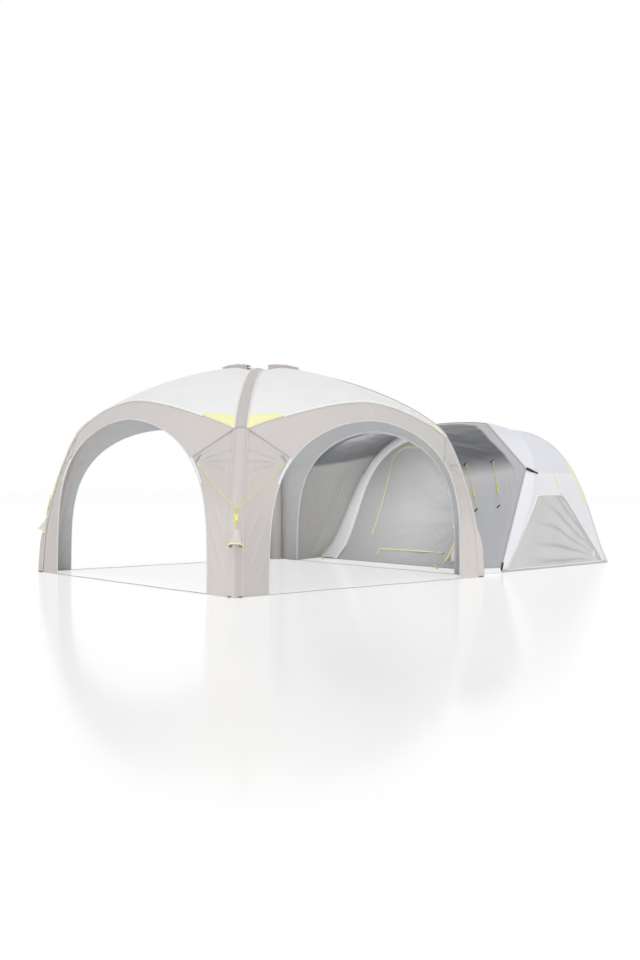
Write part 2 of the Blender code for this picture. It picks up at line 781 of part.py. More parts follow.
def rear_x(height):
    return TENT_REAR_X - REAR_LEAN * (max(height, 0) / REAR_HEIGHT) ** REAR_LEAN_POWER


def tent_skin(share, along, lift=0.0):
    """Point and normal on the fly; along runs from the front arch (0) to the rear arch (1)."""
    front, rear = front_arch(share), rear_arch(share)
    front.x, rear.x = front_x(front.z), rear_x(rear.z)
    normal = arch_normal(share, front_arch).lerp(arch_normal(share, rear_arch), along).normalized()
    return front.lerp(rear, along) + normal * lift, normal


def make_fly():
    def place(u, v):
        return tent_skin(u, v)
    return sheet("tent_fly", "fly", TENT_COLUMNS, 4, place)


def window_outline():
    outline = []
    for along, rise in WINDOW_SHARES:
        height = WINDOW_BOTTOM + (WINDOW_TOP - WINDOW_BOTTOM) * rise
        outline.append((front_x(height) + (rear_x(height) - front_x(height)) * along, height))
    return outline


def make_windows(fly):
    """Windows are cut from a copy of the fly's own skin, so that they lie flush in it."""
    x_axis = Vector((1, 0, 0))
    reach = Vector((0, 2 * FRONT_HALF_WIDTH, 0))
    for name, side in (("right", -1), ("left", 1)):
        opening = prism("window_cutter_" + name, window_outline(), x_axis, UP, Vector((0, 0, 0)),
                        reach * side)
        cut(fly, opening)
        outline = shrink(window_outline(), WINDOW_GAP)
        smaller = prism("window_shape_" + name, outline, x_axis, UP, Vector((0, 0, 0)), reach * side)
        pane = add_part("side_window_" + name, fly.data.copy(), "window")
        pane.data.materials.clear()
        pane.data.materials.append(new_material("side_window_" + name, COLOURS["window"]))
        cut(pane, smaller, 'INTERSECT')


def end_wall(name, colour, curve, lean, side, bulge):
    """Upright end of the tent: columns from the ground up to the inside of the arch."""
    first = 1 / TENT_COLUMNS

    def place(u, v):
        share = first + (1 - 2 * first) * u
        rim = curve(share) - arch_normal(share, curve) * WALL_INSET
        height = WALL_FOOT_GAP + FABRIC + (rim.z - WALL_FOOT_GAP - FABRIC) * v ** WALL_ROW_POWER
        out = bulge * 4 * v * (1 - v) * (1 - (2 * u - 1) ** 2)
        return Vector((lean(height) + side * out, rim.y, height)), Vector((side, 0, 0))

    return sheet(name, colour, TENT_COLUMNS - 2, 5, place)


def door_outline():
    corner = []
    for i in range(5):
        angle = pi / 2 * i / 4
        corner.append((DOOR_LEFT_HIGH - DOOR_CORNER + DOOR_CORNER * cos(angle),
                       DOOR_TOP - DOOR_CORNER + DOOR_CORNER * sin(angle)))
    return [(DOOR_RIGHT, DOOR_BOTTOM), (DOOR_LEFT_LOW, DOOR_BOTTOM)] + corner + [(DOOR_RIGHT, DOOR_TOP)]


def door_axes():
    """Along the chord of the door's right edge, and outward from the leaning wall."""
    foot = Vector((front_x(DOOR_BOTTOM), 0, DOOR_BOTTOM))
    up = (Vector((front_x(DOOR_TOP), 0, DOOR_TOP)) - foot).normalized()
    return foot, up, Vector((-up.z, 0, up.x))


def make_front():
    """Front wall with its door, which turns about its right edge, and the zip's slider."""
    wall = end_wall("front_wall", "panel", front_arch, front_x, -1, 0.0)
    foot, up, outward = door_axes()
    near, far = foot - outward * DOOR_DEPTH, foot + outward * DOOR_DEPTH
    y_axis = Vector((0, 1, 0))
    rise = [(y, (z - DOOR_BOTTOM) / up.z) for y, z in door_outline()]
    cut(wall, prism("door_cutter", rise, y_axis, up, near, far))
    shape = prism("door_shape", shrink(rise, DOOR_GAP), y_axis, up, near, far)
    hinge = new_empty("door_hinge", foot + y_axis * DOOR_RIGHT + outward * HINGE_PROUD, ROOT)
    data = wall.data.copy()
    data.materials.clear()
    door = add_part("tent_door", data, "panel", hinge)
    cut(door, shape, 'INTERSECT')
    make_slider()


def slider_line():
    """Straight run of the slider: its low and high ends on the door's left edge."""
    ends = []
    for height in (SLIDER_HEIGHT, SLIDER_HEIGHT + SLIDER_TRAVEL):
        rise = (height - DOOR_BOTTOM) / (DOOR_TOP - DOOR_CORNER - DOOR_BOTTOM)
        y = DOOR_LEFT_LOW + (DOOR_LEFT_HIGH - DOOR_LEFT_LOW) * rise
        ends.append(Vector((front_x(height), y, height)))
    up = ends[1] - ends[0]
    outward = Vector((-up.z, 0, up.x)).normalized()
    return [end + outward * (FABRIC / 2 + SLIDER_DEPTH / 2 + SLIDER_PROUD) for end in ends]


def make_slider():
    low, high = slider_line()
    slide = new_empty("zip_slide", low, ROOT)
    up = (high - low).normalized()
    across = Vector((0, 1, 0)) - up * up.y
    across.normalize()
    turn = Matrix((across.cross(up), across, up)).transposed().to_4x4()
    mesh = box_mesh("zip_slider", (SLIDER_DEPTH, SLIDER_WIDTH, SLIDER_LENGTH), RUNNER_BEVEL / 2,
                    Matrix.Translation(low) @ turn)
    add_part("zip_slider", mesh, "yellow", slide, roughness=0.4)


def make_tent_beam(name, start, lean, step):
    """Air beam in the corner between the fly and an end wall."""
    reach = TENT_BEAM_RADIUS + FABRIC / 2 + BEAM_CLEARANCE
    shares = [0, 0.25, 0.5] + list(range(1, TENT_COLUMNS // 2))
    shares = shares + [TENT_COLUMNS / 2] + [TENT_COLUMNS - share for share in reversed(shares)]
    path = []
    for column in shares:
        low, high = 0.0, 0.5
        for _ in range(30):
            along = (low + high) / 2
            point = tent_skin(column / TENT_COLUMNS, start + step * along, -reach)[0]
            rise = lean(point.z + SLOPE_REACH) - lean(max(point.z - SLOPE_REACH, 0))
            slope = rise / (2 * SLOPE_REACH)
            if (point.x - lean(point.z)) * step < reach * sqrt(1 + slope ** 2):
                low = along
            else:
                high = along
        path.append(point)
    for end, near in ((0, 1), (-1, -2)):
        along = (path[near].x - TENT_FRONT_X) / (TENT_REAR_X - TENT_FRONT_X)
        path[near].y = tent_skin(-end, along, -reach)[0].y
        path[end] = Vector((path[near].x, path[near].y, FABRIC + GAP))
    curve_tube(name, "beam", path, TENT_BEAM_RADIUS, BEAM_SIDES)


def make_groundsheet():
    def place(u, v):
        x = TENT_FRONT_X + SHEET_MARGIN + (TENT_REAR_X - TENT_FRONT_X - 2 * SHEET_MARGIN) * v
        half = FRONT_HALF_WIDTH + (REAR_HALF_WIDTH - FRONT_HALF_WIDTH) * v - FABRIC / 2 - 2 * GAP
        return Vector((x, half * (2 * u - 1), FABRIC / 2)), UP
    sheet("groundsheet", "sheet", 2, 2, place)


# Connector tunnel

def hem_share(share):
    """How far behind the front arch the connector's rear hem lies on the fly."""
    return HEM_APEX_SHARE * sin(arch_angle(share)) ** 1.6


def tunnel_point(share, way):
    """way 0 is the shelter's arch, 1 the tent's front arch, 2 the hem on the fly."""
    if way <= 1:
        start = shelter_arch(share)
        start.x = HALF + FABRIC / 2 + GAP
        end, end_normal = tent_skin(share, 0, HEM_LIFT)
        normal = arch_normal(share, shelter_arch).lerp(end_normal, way).normalized()
        sag = TUNNEL_SAG * 4 * way * (1 - way) * min(1.0, start.z / ARCH_HEIGHT)
        return start.lerp(end, way) - normal * sag, normal
    return tent_skin(share, hem_share(share) * (way - 1), HEM_LIFT)


def make_tunnel():
    def place(u, v):
        return tunnel_point(u, 2 * v)
    sheet("connector_tunnel", "tunnel", TENT_COLUMNS, 8, place)


def make_buckle(name, side):
    """Side-release buckle that ties the connector's hem to the fly at the shoulder."""
    share = BUCKLE_SHARE if side < 0 else 1 - BUCKLE_SHARE
    seat, normal = tunnel_point(share, BUCKLE_WAY)
    along = tunnel_point(share, BUCKLE_WAY + BUCKLE_WAY_REACH)[0]
    along = (along - tunnel_point(share, BUCKLE_WAY - BUCKLE_WAY_REACH)[0]).normalized()
    around = tunnel_point(share + BUCKLE_SHARE_REACH, BUCKLE_WAY)[0]
    around -= tunnel_point(share - BUCKLE_SHARE_REACH, BUCKLE_WAY)[0]
    outward = along.cross(around).normalized()
    if outward.dot(normal) < 0:
        outward.negate()
    seat += outward * (FABRIC / 2 + GAP + BUCKLE_DEPTH / 2 - BUCKLE_SINK)
    turn = Matrix((along, outward.cross(along), outward)).transposed().to_4x4()
    size = (BUCKLE_LENGTH, BUCKLE_WIDTH, BUCKLE_DEPTH)
    mesh = box_mesh(name, size, RUNNER_BEVEL, Matrix.Translation(seat) @ turn)
    add_part(name, mesh, "black", roughness=0.35)


def line_point(way, share):
    point, normal = tunnel_point(share, way)
    return point + normal * (FABRIC / 2 + LINE_PROUD)


def line_ends(name):
    """Top and bottom of a guy-line that hangs along the connector's wall."""
    way, share = LINE_TOPS[name]
    top = line_point(way, share)
    low, high = 0.0, share
    for _ in range(40):
        middle = (low + high) / 2
        if line_point(way, middle).z < top.z - LINE_DROP:
            low = middle
        else:
            high = middle
    return top, line_point(way, low)


def line_route(name):
    """Leaves the wall, hangs straight and a little proud of it for the runner, and comes back."""
    top, bottom = line_ends(name)
    down = (bottom - top).normalized()
    way, share = LINE_TOPS[name]
    inward = -tunnel_point(share, way)[1] * (LINE_PROUD - CORD_DIAMETER / 2 + GAP)
    count = 10
    run = [top.lerp(bottom, i / count) for i in range(count + 1)]
    return ([top + inward - down * LINE_BEND, top + inward / 2 - down * LINE_BEND / 3] + run
            + [bottom + inward / 2 + down * LINE_BEND / 3, bottom + inward + down * LINE_BEND])


def make_connector_line(name):
    route = line_route(name)
    curve_tube("connector_guyline_" + name, "yellow", route, CORD_DIAMETER / 2, 8)
    top, bottom = line_ends(name)
    down = (bottom - top).normalized()
    place = top + down * LINE_RUNNER_DROP
    across = Vector((1, 0, 0)) - down * down.x
    make_runner("connector_runner_" + name, place, down, across.normalized(), (0.0,), SINGLE_RUNNER_WIDTH,
                SINGLE_RUNNER_LENGTH)


def centre_on_ground():
    """Puts the origin under the middle of the whole object, guy-lines and runners aside."""
    bpy.context.view_layer.update()
    graph = bpy.context.evaluated_depsgraph_get()
    low, high = Vector((inf, inf, inf)), Vector((-inf, -inf, -inf))
    for part in PARTS.objects:
        if part.type == 'EMPTY' or "guyline" in part.name or "runner" in part.name:
            continue
        shown = part.evaluated_get(graph)
        mesh = shown.to_mesh()
        for vert in mesh.vertices:
            place = part.matrix_world @ vert.co
            low = Vector(map(min, low, place))
            high = Vector(map(max, high, place))
        shown.to_mesh_clear()
    ROOT.location = Vector((-(low.x + high.x) / 2, -(low.y + high.y) / 2, -low.z))


def build():
    make_beams()
    for name, side in SIDES.items():
        make_roof(name, side)
        make_vent_hood(name, side)
        make_valance(name, side)
        make_ground_strap(name, side)
    for name, corner in CORNERS.items():
        make_wrap(name, corner)
        make_gusset(name, corner)
    for name in GUYED_CORNERS:
        make_pocket(name, CORNERS[name])
        make_leg_guyline(name, CORNERS[name])
        make_leg_runner(name, CORNERS[name])
    make_valve()
    fly = make_fly()
    make_windows(fly)
    make_front()
    end_wall("rear_wall", "fly", rear_arch, rear_x, 1, REAR_BULGE)
    make_tent_beam("tent_beam_front", 0, front_x, 1)
    make_tent_beam("tent_beam_rear", 1, rear_x, -1)
    make_groundsheet()
    make_tunnel()
    make_buckle("shoulder_buckle_right", -1)
    make_buckle("shoulder_buckle_left", 1)
    for name in LINE_TOPS:
        make_connector_line(name)
    centre_on_ground()


build()
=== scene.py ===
"""Looks of the inflatable shelter, its tunnel connector and its dome tent.

Geometry is written from the shelter's centre, as in the part's source, and moved to the row
frame by ORIGIN when a mesh or a curve is made.
"""
import json
from functools import lru_cache
from math import acos, asin, atan2, cos, exp, pi, radians, sin, sqrt

import bpy
from mathutils import Matrix, Vector, noise

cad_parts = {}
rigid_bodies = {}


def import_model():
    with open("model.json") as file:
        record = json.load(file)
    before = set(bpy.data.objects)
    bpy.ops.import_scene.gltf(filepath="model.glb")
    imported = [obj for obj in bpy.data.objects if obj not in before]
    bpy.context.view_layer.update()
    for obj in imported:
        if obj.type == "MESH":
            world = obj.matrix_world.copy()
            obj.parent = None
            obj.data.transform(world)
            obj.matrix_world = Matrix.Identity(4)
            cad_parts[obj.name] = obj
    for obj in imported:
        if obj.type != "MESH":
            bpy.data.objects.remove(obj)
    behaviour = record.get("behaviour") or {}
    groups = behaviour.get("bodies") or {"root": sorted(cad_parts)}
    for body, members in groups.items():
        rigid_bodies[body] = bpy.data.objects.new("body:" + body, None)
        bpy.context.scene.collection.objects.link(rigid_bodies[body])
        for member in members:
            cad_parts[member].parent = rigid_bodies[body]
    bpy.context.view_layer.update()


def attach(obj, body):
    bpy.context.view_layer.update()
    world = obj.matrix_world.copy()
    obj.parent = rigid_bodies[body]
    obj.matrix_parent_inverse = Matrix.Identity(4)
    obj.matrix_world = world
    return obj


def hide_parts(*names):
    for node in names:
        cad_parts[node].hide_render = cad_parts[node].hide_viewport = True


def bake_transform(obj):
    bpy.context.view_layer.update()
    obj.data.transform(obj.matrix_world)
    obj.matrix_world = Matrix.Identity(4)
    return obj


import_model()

# Sizes as in the part's source, but for the crown, the hoods' lift and the gussets, fitted to the photograph
ORIGIN = Vector((-1.53348, 0.0, 0.000006))
FABRIC = 0.006
GAP = 0.0005
SHELTER_WIDTH = 3.65
ARCH_WIDTH = 2.81
ARCH_HEIGHT = 1.72
SEAM_HEIGHT = 1.92
SEAM_INSET = 0.10
SIDE_SEAM_HEIGHT = 1.30
SLEEVE_RADIUS = 0.08
SLEEVE_WALL = 0.004
FOOT_RADIUS = 2.464
BEAM_CROWN_HEIGHT = 2.3295
WRAP_EASE = 0.0039
WRAP_SLACK = 0.006
FLANK_ANGLE = radians(48.3)
BEAM_PATH_SHARES = [
    (0.0, 0.976), (0.2224, 0.9615), (0.431, 0.909), (0.619, 0.833), (0.757, 0.752),
    (0.843, 0.671), (0.902, 0.536), (0.948, 0.386), (0.983, 0.2145), (1.0, 0.0054)]
CORNER_STEP = 5
FOOT_STEP = 9
STRAP_WIDTH = 0.025
STRAP_REACH = 0.15
VENT_INNER = 0.235
VENT_OUTER = 0.36
VENT_INNER_HALF = 0.085
VENT_OUTER_HALF = 0.19
HOOD_MARGIN = 0.035
HOOD_HALF_MARGIN = 0.045
HOOD_THICKNESS = 0.005
HOOD_LIFT = 0.056
PROP_LENGTH = 0.055
GUSSET_RISE = 0.61
GUSSET_REACH_SHARE = 2 / 7 * 1.1
GUSSET_TIP_SHARE = 0.08
GUSSET_ARC_SHARE = 3 / 7
POCKET_TOP = 0.64
POCKET_MOUTH = 0.465
POCKET_PROUD = 0.10
POCKET_SPREAD = 0.66
CORD_DIAMETER = 0.006
STRAND_SPACING = 0.026
RUNNER_WIDTH = 0.046
RUNNER_DEPTH = 0.014
RUNNER_LENGTH = 0.06
GUY_TOP_HEIGHT = 1.27
GUY_TOP_SHARE = 0.97
GUY_KNOT_HEIGHT = 0.835
GUY_TAIL_HEIGHT = 0.672
GUY_KNOT_PROUD = 0.0108
RUNNER_HEIGHT = 0.745
TENT_FRONT_X = 2.413
TENT_REAR_X = 4.95
FRONT_HALF_WIDTH = 1.588
FRONT_HEIGHT = 1.885
FRONT_LEAN = 1.073
REAR_HALF_WIDTH = 1.453
REAR_HEIGHT = 1.81
REAR_LEAN = 0.935
REAR_BULGE = 0.05
TENT_BEAM_RADIUS = 0.065
BEAM_CLEARANCE = 0.0045
SHEET_MARGIN = 0.01
WALL_INSET = 0.008
WALL_FOOT_GAP = 0.0005
HEM_LIFT = 0.0075
TUNNEL_SAG = 0.035
HEM_APEX_SHARE = 0.62
DOOR_RIGHT = -0.60
DOOR_LEFT_LOW = 0.86
DOOR_LEFT_HIGH = 0.99
DOOR_BOTTOM = 0.14
DOOR_TOP = 1.56
DOOR_CORNER = 0.22
DOOR_GAP = 0.0008
DOOR_DEPTH = 0.3
SLIDER_HEIGHT = 0.36
SLIDER_TRAVEL = 0.22
SLIDER_WIDTH = 0.016
SLIDER_DEPTH = 0.008
SLIDER_LENGTH = 0.04
SLIDER_PROUD = 0.0084
WINDOW_BOTTOM = 0.03
WINDOW_TOP = 0.93
WINDOW_SHARES = [(0.03, 0.0), (0.96, 0.0), (0.95, 0.12), (0.90, 0.32), (0.60, 0.985), (0.56, 1.0),
                 (0.12, 1.0), (0.095, 0.985)]
BUCKLE_WIDTH = 0.04
BUCKLE_DEPTH = 0.016
BUCKLE_LENGTH = 0.11
BUCKLE_SHARE = 0.237
BUCKLE_WAY = 0.945
BUCKLE_WAY_REACH = 0.04
BUCKLE_SHARE_REACH = 0.02
BUCKLE_SINK = 0.0014
SINGLE_RUNNER_WIDTH = 0.022
SINGLE_RUNNER_LENGTH = 0.075
LINE_PROUD = 0.05
LINE_TOPS = {"front": (0.25, 0.285), "rear": (0.54, 0.283)}
LINE_DROP = 0.55
LINE_RUNNER_DROP = 0.40
VALVE_RADIUS = 0.024
VALVE_LENGTH = 0.022
VALVE_HEIGHT = 0.42
VALVE_CLEARANCE = 0.0025
ARCH_SIDE_POWER = 1.11
ARCH_RISE_POWER = 0.517
FRONT_SIDE_POWER = 0.80
FRONT_RISE_POWER = 0.45
REAR_SIDE_POWER = 0.587
REAR_RISE_POWER = 0.516
FRONT_LEAN_POWER = 0.646
REAR_LEAN_POWER = 0.822
SEAM_POWER = 1.65
FEET_BUNCHING = 1.8

HALF = SHELTER_WIDTH / 2
WRAP_RADIUS = SLEEVE_RADIUS + WRAP_EASE
FLANK_DEPTH = WRAP_RADIUS * cos(FLANK_ANGLE)
FLANK_SIDE = WRAP_RADIUS * sin(FLANK_ANGLE)
UP = Vector((0, 0, 1))
SIDES = {"front": pi, "right": -pi / 2, "rear": 0.0, "left": pi / 2}
CORNERS = {"front_right": -3 * pi / 4, "rear_right": -pi / 4, "rear_left": pi / 4, "front_left": 3 * pi / 4}
# Places (share, way) of the hem: two planes through these and the camera's place cut it straight
HEM_TOP = (0.45, 0.995)
HEM_SHOULDER = (0.245, 0.91)
HEM_FOOT = (0.02, 0.86)
CAMERA_PLACE = Vector((-9.8405, -9.959, 1.1246))
GUYED_CORNERS = ("front_right", "front_left")
BODY = "shelter_and_tent"

# Sizes of the looks only
CLOTH = 0.0016
TAPE = 0.0022
BUCKLE_TURN = radians(34)
ARC_SHARE = 0.6
WING_WIDTH = 0.42
STITCH_LENGTH = 0.007
STITCH_WIDTH = 0.0011
LENS = 41.96
YAW, PITCH, ROLL = radians(47.12), radians(-0.12), radians(0.48)


# Materials

def tone(red, green, blue):
    """Linear colour of a shade read on the usual 0 to 255 scale."""
    return tuple(((c / 255 + 0.055) / 1.055) ** 2.4 for c in (red, green, blue)) + (1.0,)


def node(tree, kind, inputs=None, **settings):
    item = tree.nodes.new("ShaderNode" + kind)
    for key, value in settings.items():
        setattr(item, key, value)
    for key, value in (inputs or {}).items():
        if isinstance(value, bpy.types.NodeSocket):
            tree.links.new(value, item.inputs[key])
        else:
            item.inputs[key].default_value = value
    return item


def maths(tree, operation, first, second=0.0, third=0.0):
    return node(tree, "Math", {0: first, 1: second, 2: third}, operation=operation).outputs[0]


def mix(tree, factor, first, second, blend="MIX"):
    item = node(tree, "Mix", {0: factor, 6: first, 7: second}, data_type="RGBA", blend_type=blend)
    return item.outputs[2]


def spread(tree, value, low, high):
    """Maps 0 to 1 noise onto a range."""
    return node(tree, "MapRange", {0: value, 1: 0.25, 2: 0.75, 3: low, 4: high}).outputs[0]


def grey_of(tree, value):
    return node(tree, "CombineColor", {0: value, 1: value, 2: value}).outputs[0]


def blank(name, colour):
    """New material with its tree, its shader, its plain colour and its coordinates."""
    material = bpy.data.materials.new(name)
    material.use_nodes = True
    tree = material.node_tree
    base = node(tree, "RGB").outputs[0]
    base.default_value = colour
    return material, tree, tree.nodes["Principled BSDF"], base, node(tree, "TexCoord").outputs


def fabric(name, colour, lining=None, stops=None, thread=0.0018, crease=0.35, crease_size=2.6,
           roughness=0.78, sheen=0.25, stretch=(1.0, 1.0, 0.45), seam_height=None, above=None):
    """Coated tent cloth: woven threads, soft creases, hem stitching and uneven dye."""
    material, tree, shader, base, place = blank(name, colour)
    split = node(tree, "SeparateXYZ", {0: place["UV"]})
    # Tone ramp from a per-vertex tone: some pieces put painted shade and painted highlight into it.
    if stops:
        zone = node(tree, "Attribute", attribute_name="tone").outputs["Fac"]
        ramp = node(tree, "ValToRGB", {0: zone})
        ramp.color_ramp.elements[0].color = stops[0]
        ramp.color_ramp.elements[1].color = stops[-1]
        for i, stop in enumerate(stops[1:-1]):
            ramp.color_ramp.elements.new((i + 1) / (len(stops) - 1)).color = stop
        base = ramp.outputs[0]
    if above:
        height = node(tree, "SeparateXYZ", {0: place["Object"]}).outputs[2]
        base = mix(tree, maths(tree, "GREATER_THAN", height, seam_height), base, above)
    if lining:
        inside = node(tree, "Attribute", attribute_name="lining").outputs["Fac"]
        base = mix(tree, inside, base, lining)
    broad = node(tree, "TexNoise", {"Vector": place["Object"], "Scale": 1.7, "Detail": 5.0})
    fine = node(tree, "TexNoise", {"Vector": place["Object"], "Scale": 46.0, "Detail": 3.0})
    shade = maths(tree, "MULTIPLY", spread(tree, broad.outputs[0], 0.972, 1.022),
                  spread(tree, fine.outputs[0], 0.99, 1.01))
    edge = node(tree, "Attribute", attribute_name="edge").outputs["Fac"]
    along = maths(tree, "ADD", split.outputs[0], split.outputs[1])
    wave = maths(tree, "SINE", maths(tree, "MULTIPLY", along, 2 * pi / STITCH_LENGTH))
    dash = maths(tree, "GREATER_THAN", wave, -0.3)
    rows = None
    for distance in (0.010, 0.019):
        off = maths(tree, "ABSOLUTE", maths(tree, "SUBTRACT", edge, distance))
        row = maths(tree, "LESS_THAN", off, STITCH_WIDTH)
        rows = row if rows is None else maths(tree, "MAXIMUM", rows, row)
    stitch = maths(tree, "MULTIPLY", rows, dash)
    shade = maths(tree, "SUBTRACT", shade, maths(tree, "MULTIPLY", stitch, 0.10))
    tree.links.new(mix(tree, 1.0, base, grey_of(tree, shade), "MULTIPLY"), shader.inputs["Base Color"])
    drape = node(tree, "Mapping", {0: place["Object"], 3: stretch})
    soft = node(tree, "TexNoise", {"Vector": drape.outputs[0], "Scale": crease_size, "Detail": 4.0,
                                   "Roughness": 0.42, "Distortion": 0.6})
    small = node(tree, "TexNoise", {"Vector": drape.outputs[0], "Scale": crease_size * 7,
                                    "Detail": 3.0, "Distortion": 1.1})
    folds = maths(tree, "ADD", soft.outputs[0], maths(tree, "MULTIPLY", small.outputs[0], 0.10))
    warp = maths(tree, "SINE", maths(tree, "MULTIPLY", split.outputs[0], 2 * pi / thread))
    weft = maths(tree, "SINE", maths(tree, "MULTIPLY", split.outputs[1], 2 * pi / thread))
    first = node(tree, "Bump", {"Strength": crease, "Distance": 0.05, "Height": folds})
    second = node(tree, "Bump", {"Strength": 0.25, "Distance": thread / 5,
                                 "Height": maths(tree, "MULTIPLY", warp, weft),
                                 "Normal": first.outputs[0]})
    third = node(tree, "Bump", {"Strength": 0.5, "Distance": 0.0008,
                                "Height": maths(tree, "MULTIPLY", stitch, -1.0),
                                "Normal": second.outputs[0]})
    tree.links.new(third.outputs[0], shader.inputs["Normal"])
    uneven = spread(tree, fine.outputs[0], roughness - 0.06, roughness + 0.05)
    tree.links.new(uneven, shader.inputs["Roughness"])
    shader.inputs["Specular IOR Level"].default_value = 0.25
    shader.inputs["Sheen Weight"].default_value = sheen
    shader.inputs["Sheen Roughness"].default_value = 0.5
    return material


def moulded(name, colour, roughness=0.38, grain=900.0):
    """Injection-moulded plastic: fine grain, faint flow marks and scuffs."""
    material, tree, shader, base, place = blank(name, colour)
    flow = node(tree, "TexNoise", {"Vector": place["Object"], "Scale": 38.0, "Detail": 3.0,
                                   "Distortion": 0.8})
    grains = node(tree, "TexNoise", {"Vector": place["Object"], "Scale": grain, "Detail": 2.0})
    shade = grey_of(tree, spread(tree, flow.outputs[0], 0.93, 1.05))
    tree.links.new(mix(tree, 1.0, base, shade, "MULTIPLY"), shader.inputs["Base Color"])
    uneven = spread(tree, flow.outputs[0], roughness - 0.05, roughness + 0.1)
    tree.links.new(uneven, shader.inputs["Roughness"])
    bump = node(tree, "Bump", {"Strength": 0.25, "Distance": 0.0002, "Height": grains.outputs[0]})
    tree.links.new(bump.outputs[0], shader.inputs["Normal"])
    return material


def braided(name, colour, pitch=0.0035):
    """Braided cord: crossing strands that show as small diagonal ribs."""
    material, tree, shader, base, place = blank(name, colour)
    ribs = []
    for turn in (0.7, -0.7):
        tilt = node(tree, "Mapping", {0: place["Object"], 2: (turn, turn, 0.4)})
        ribs.append(node(tree, "TexWave", {"Vector": tilt.outputs[0], "Scale": 1 / pitch / 3,
                                           "Distortion": 0.4}).outputs["Fac"])
    height = maths(tree, "MAXIMUM", ribs[0], ribs[1])
    # Painted shade: the grooves between the strands are darker in the base colour.
    shade = grey_of(tree, spread(tree, height, 0.90, 1.04))
    tree.links.new(mix(tree, 1.0, base, shade, "MULTIPLY"), shader.inputs["Base Color"])
    bump = node(tree, "Bump", {"Strength": 0.6, "Distance": 0.0006, "Height": height})
    tree.links.new(bump.outputs[0], shader.inputs["Normal"])
    shader.inputs["Roughness"].default_value = 0.7
    return material


WHITE_TAPE = fabric("white_tape", tone(251, 251, 252), thread=0.0012, crease=0.05, sheen=0.1)
PALE_TAPE = fabric("pale_tape", tone(226, 226, 228), thread=0.0012, crease=0.05)
ROOF = fabric("roof_cloth", tone(243, 243, 243), lining=tone(232, 232, 233), crease=0.22, crease_size=1.6)
# Taupe grades: the darker stops also carry painted shade in creases and on shaded sides, the lighter stop
# painted highlight on raised folds.
TAUPE = fabric("taupe_cloth", tone(219, 213, 209), lining=tone(204, 205, 206), crease=0.32,
               stops=[tone(224, 218, 214), tone(206, 201, 198), tone(180, 175, 172)])
SLEEVE = fabric("sleeve_cloth", tone(202, 197, 194), crease=0.2, crease_size=4.0,
                stops=[tone(202, 197, 194), tone(243, 243, 243)])
SEAM_SHADE = fabric("seam_cloth", tone(186, 181, 178), crease=0.1)
# Painted shadow: a dark patch that stands for the shade inside each pocket's mouth.
POCKET_SHADE = fabric("pocket_painted_shadow", tone(160, 158, 157), crease=0.1)
YELLOW = fabric("yellow_cloth", tone(251, 248, 190), crease=0.2, crease_size=4.0)
# Vent mesh in the pinkish grey of the shade under the hoods: partly the mesh's own colour, partly painted
# shade.
GAUZE_AND_SHADE = fabric("vent_gauze", tone(206, 198, 193), thread=0.004, crease=0.1)
WEBBING = fabric("grey_webbing", tone(186, 186, 188), thread=0.003, crease=0.05, roughness=0.85)
DARK_WEBBING = fabric("dark_webbing", tone(34, 34, 36), thread=0.003, crease=0.05, roughness=0.8)
FLY = fabric("fly_cloth", tone(243, 243, 247), lining=tone(205, 206, 209), crease=0.16, crease_size=1.6,
             seam_height=1.21, above=tone(233, 234, 240))
# The darker stop carries painted shade along the window's creases.
FILM = fabric("window_film", tone(220, 220, 219), lining=tone(204, 204, 204), thread=0.004, crease=0.30,
              crease_size=3.0, roughness=0.42, sheen=0.0, stops=[tone(226, 226, 225), tone(172, 172, 173)])
PANEL = fabric("wall_cloth", tone(203, 203, 204), lining=tone(196, 197, 199), crease=0.34, crease_size=2.0)
BAND = fabric("band_cloth", tone(249, 249, 251), crease=0.12)
TUNNEL = fabric("tunnel_cloth", tone(178, 179, 184), crease=0.5, crease_size=2.2, roughness=0.66,
                stops=[tone(181, 183, 188), tone(187, 185, 188), tone(84, 86, 91), tone(196, 195, 192),
                       tone(122, 124, 128)])
SHEET = fabric("groundsheet_cloth", tone(150, 151, 154), crease=0.3, roughness=0.55)
BLADDER = fabric("bladder_film", tone(214, 217, 222), thread=0.006, crease=0.15, roughness=0.4, sheen=0.0)
YELLOW_CORD = braided("yellow_cord", tone(238, 234, 150))
BRIGHT_CORD = braided("bright_cord", tone(216, 216, 84))
YELLOW_PLASTIC = moulded("yellow_plastic", tone(244, 240, 118))
BRIGHT_PLASTIC = moulded("bright_plastic", tone(229, 228, 34))
ORANGE_PLASTIC = moulded("orange_plastic", tone(222, 160, 40))
BLACK_PLASTIC = moulded("black_plastic", tone(26, 27, 29))
WHITE_PLASTIC = moulded("white_plastic", tone(245, 246, 248))


# Mesh makers

def link(name, data, material):
    piece = bpy.data.objects.new(name, data)
    bpy.context.scene.collection.objects.link(piece)
    data.materials.append(material)
    return piece


def settle(piece, nodes=(), body=BODY):
    """Puts a finished piece on its body and in place of its CAD nodes."""
    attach(piece, body)
    if nodes:
        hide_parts(*nodes)
    return piece


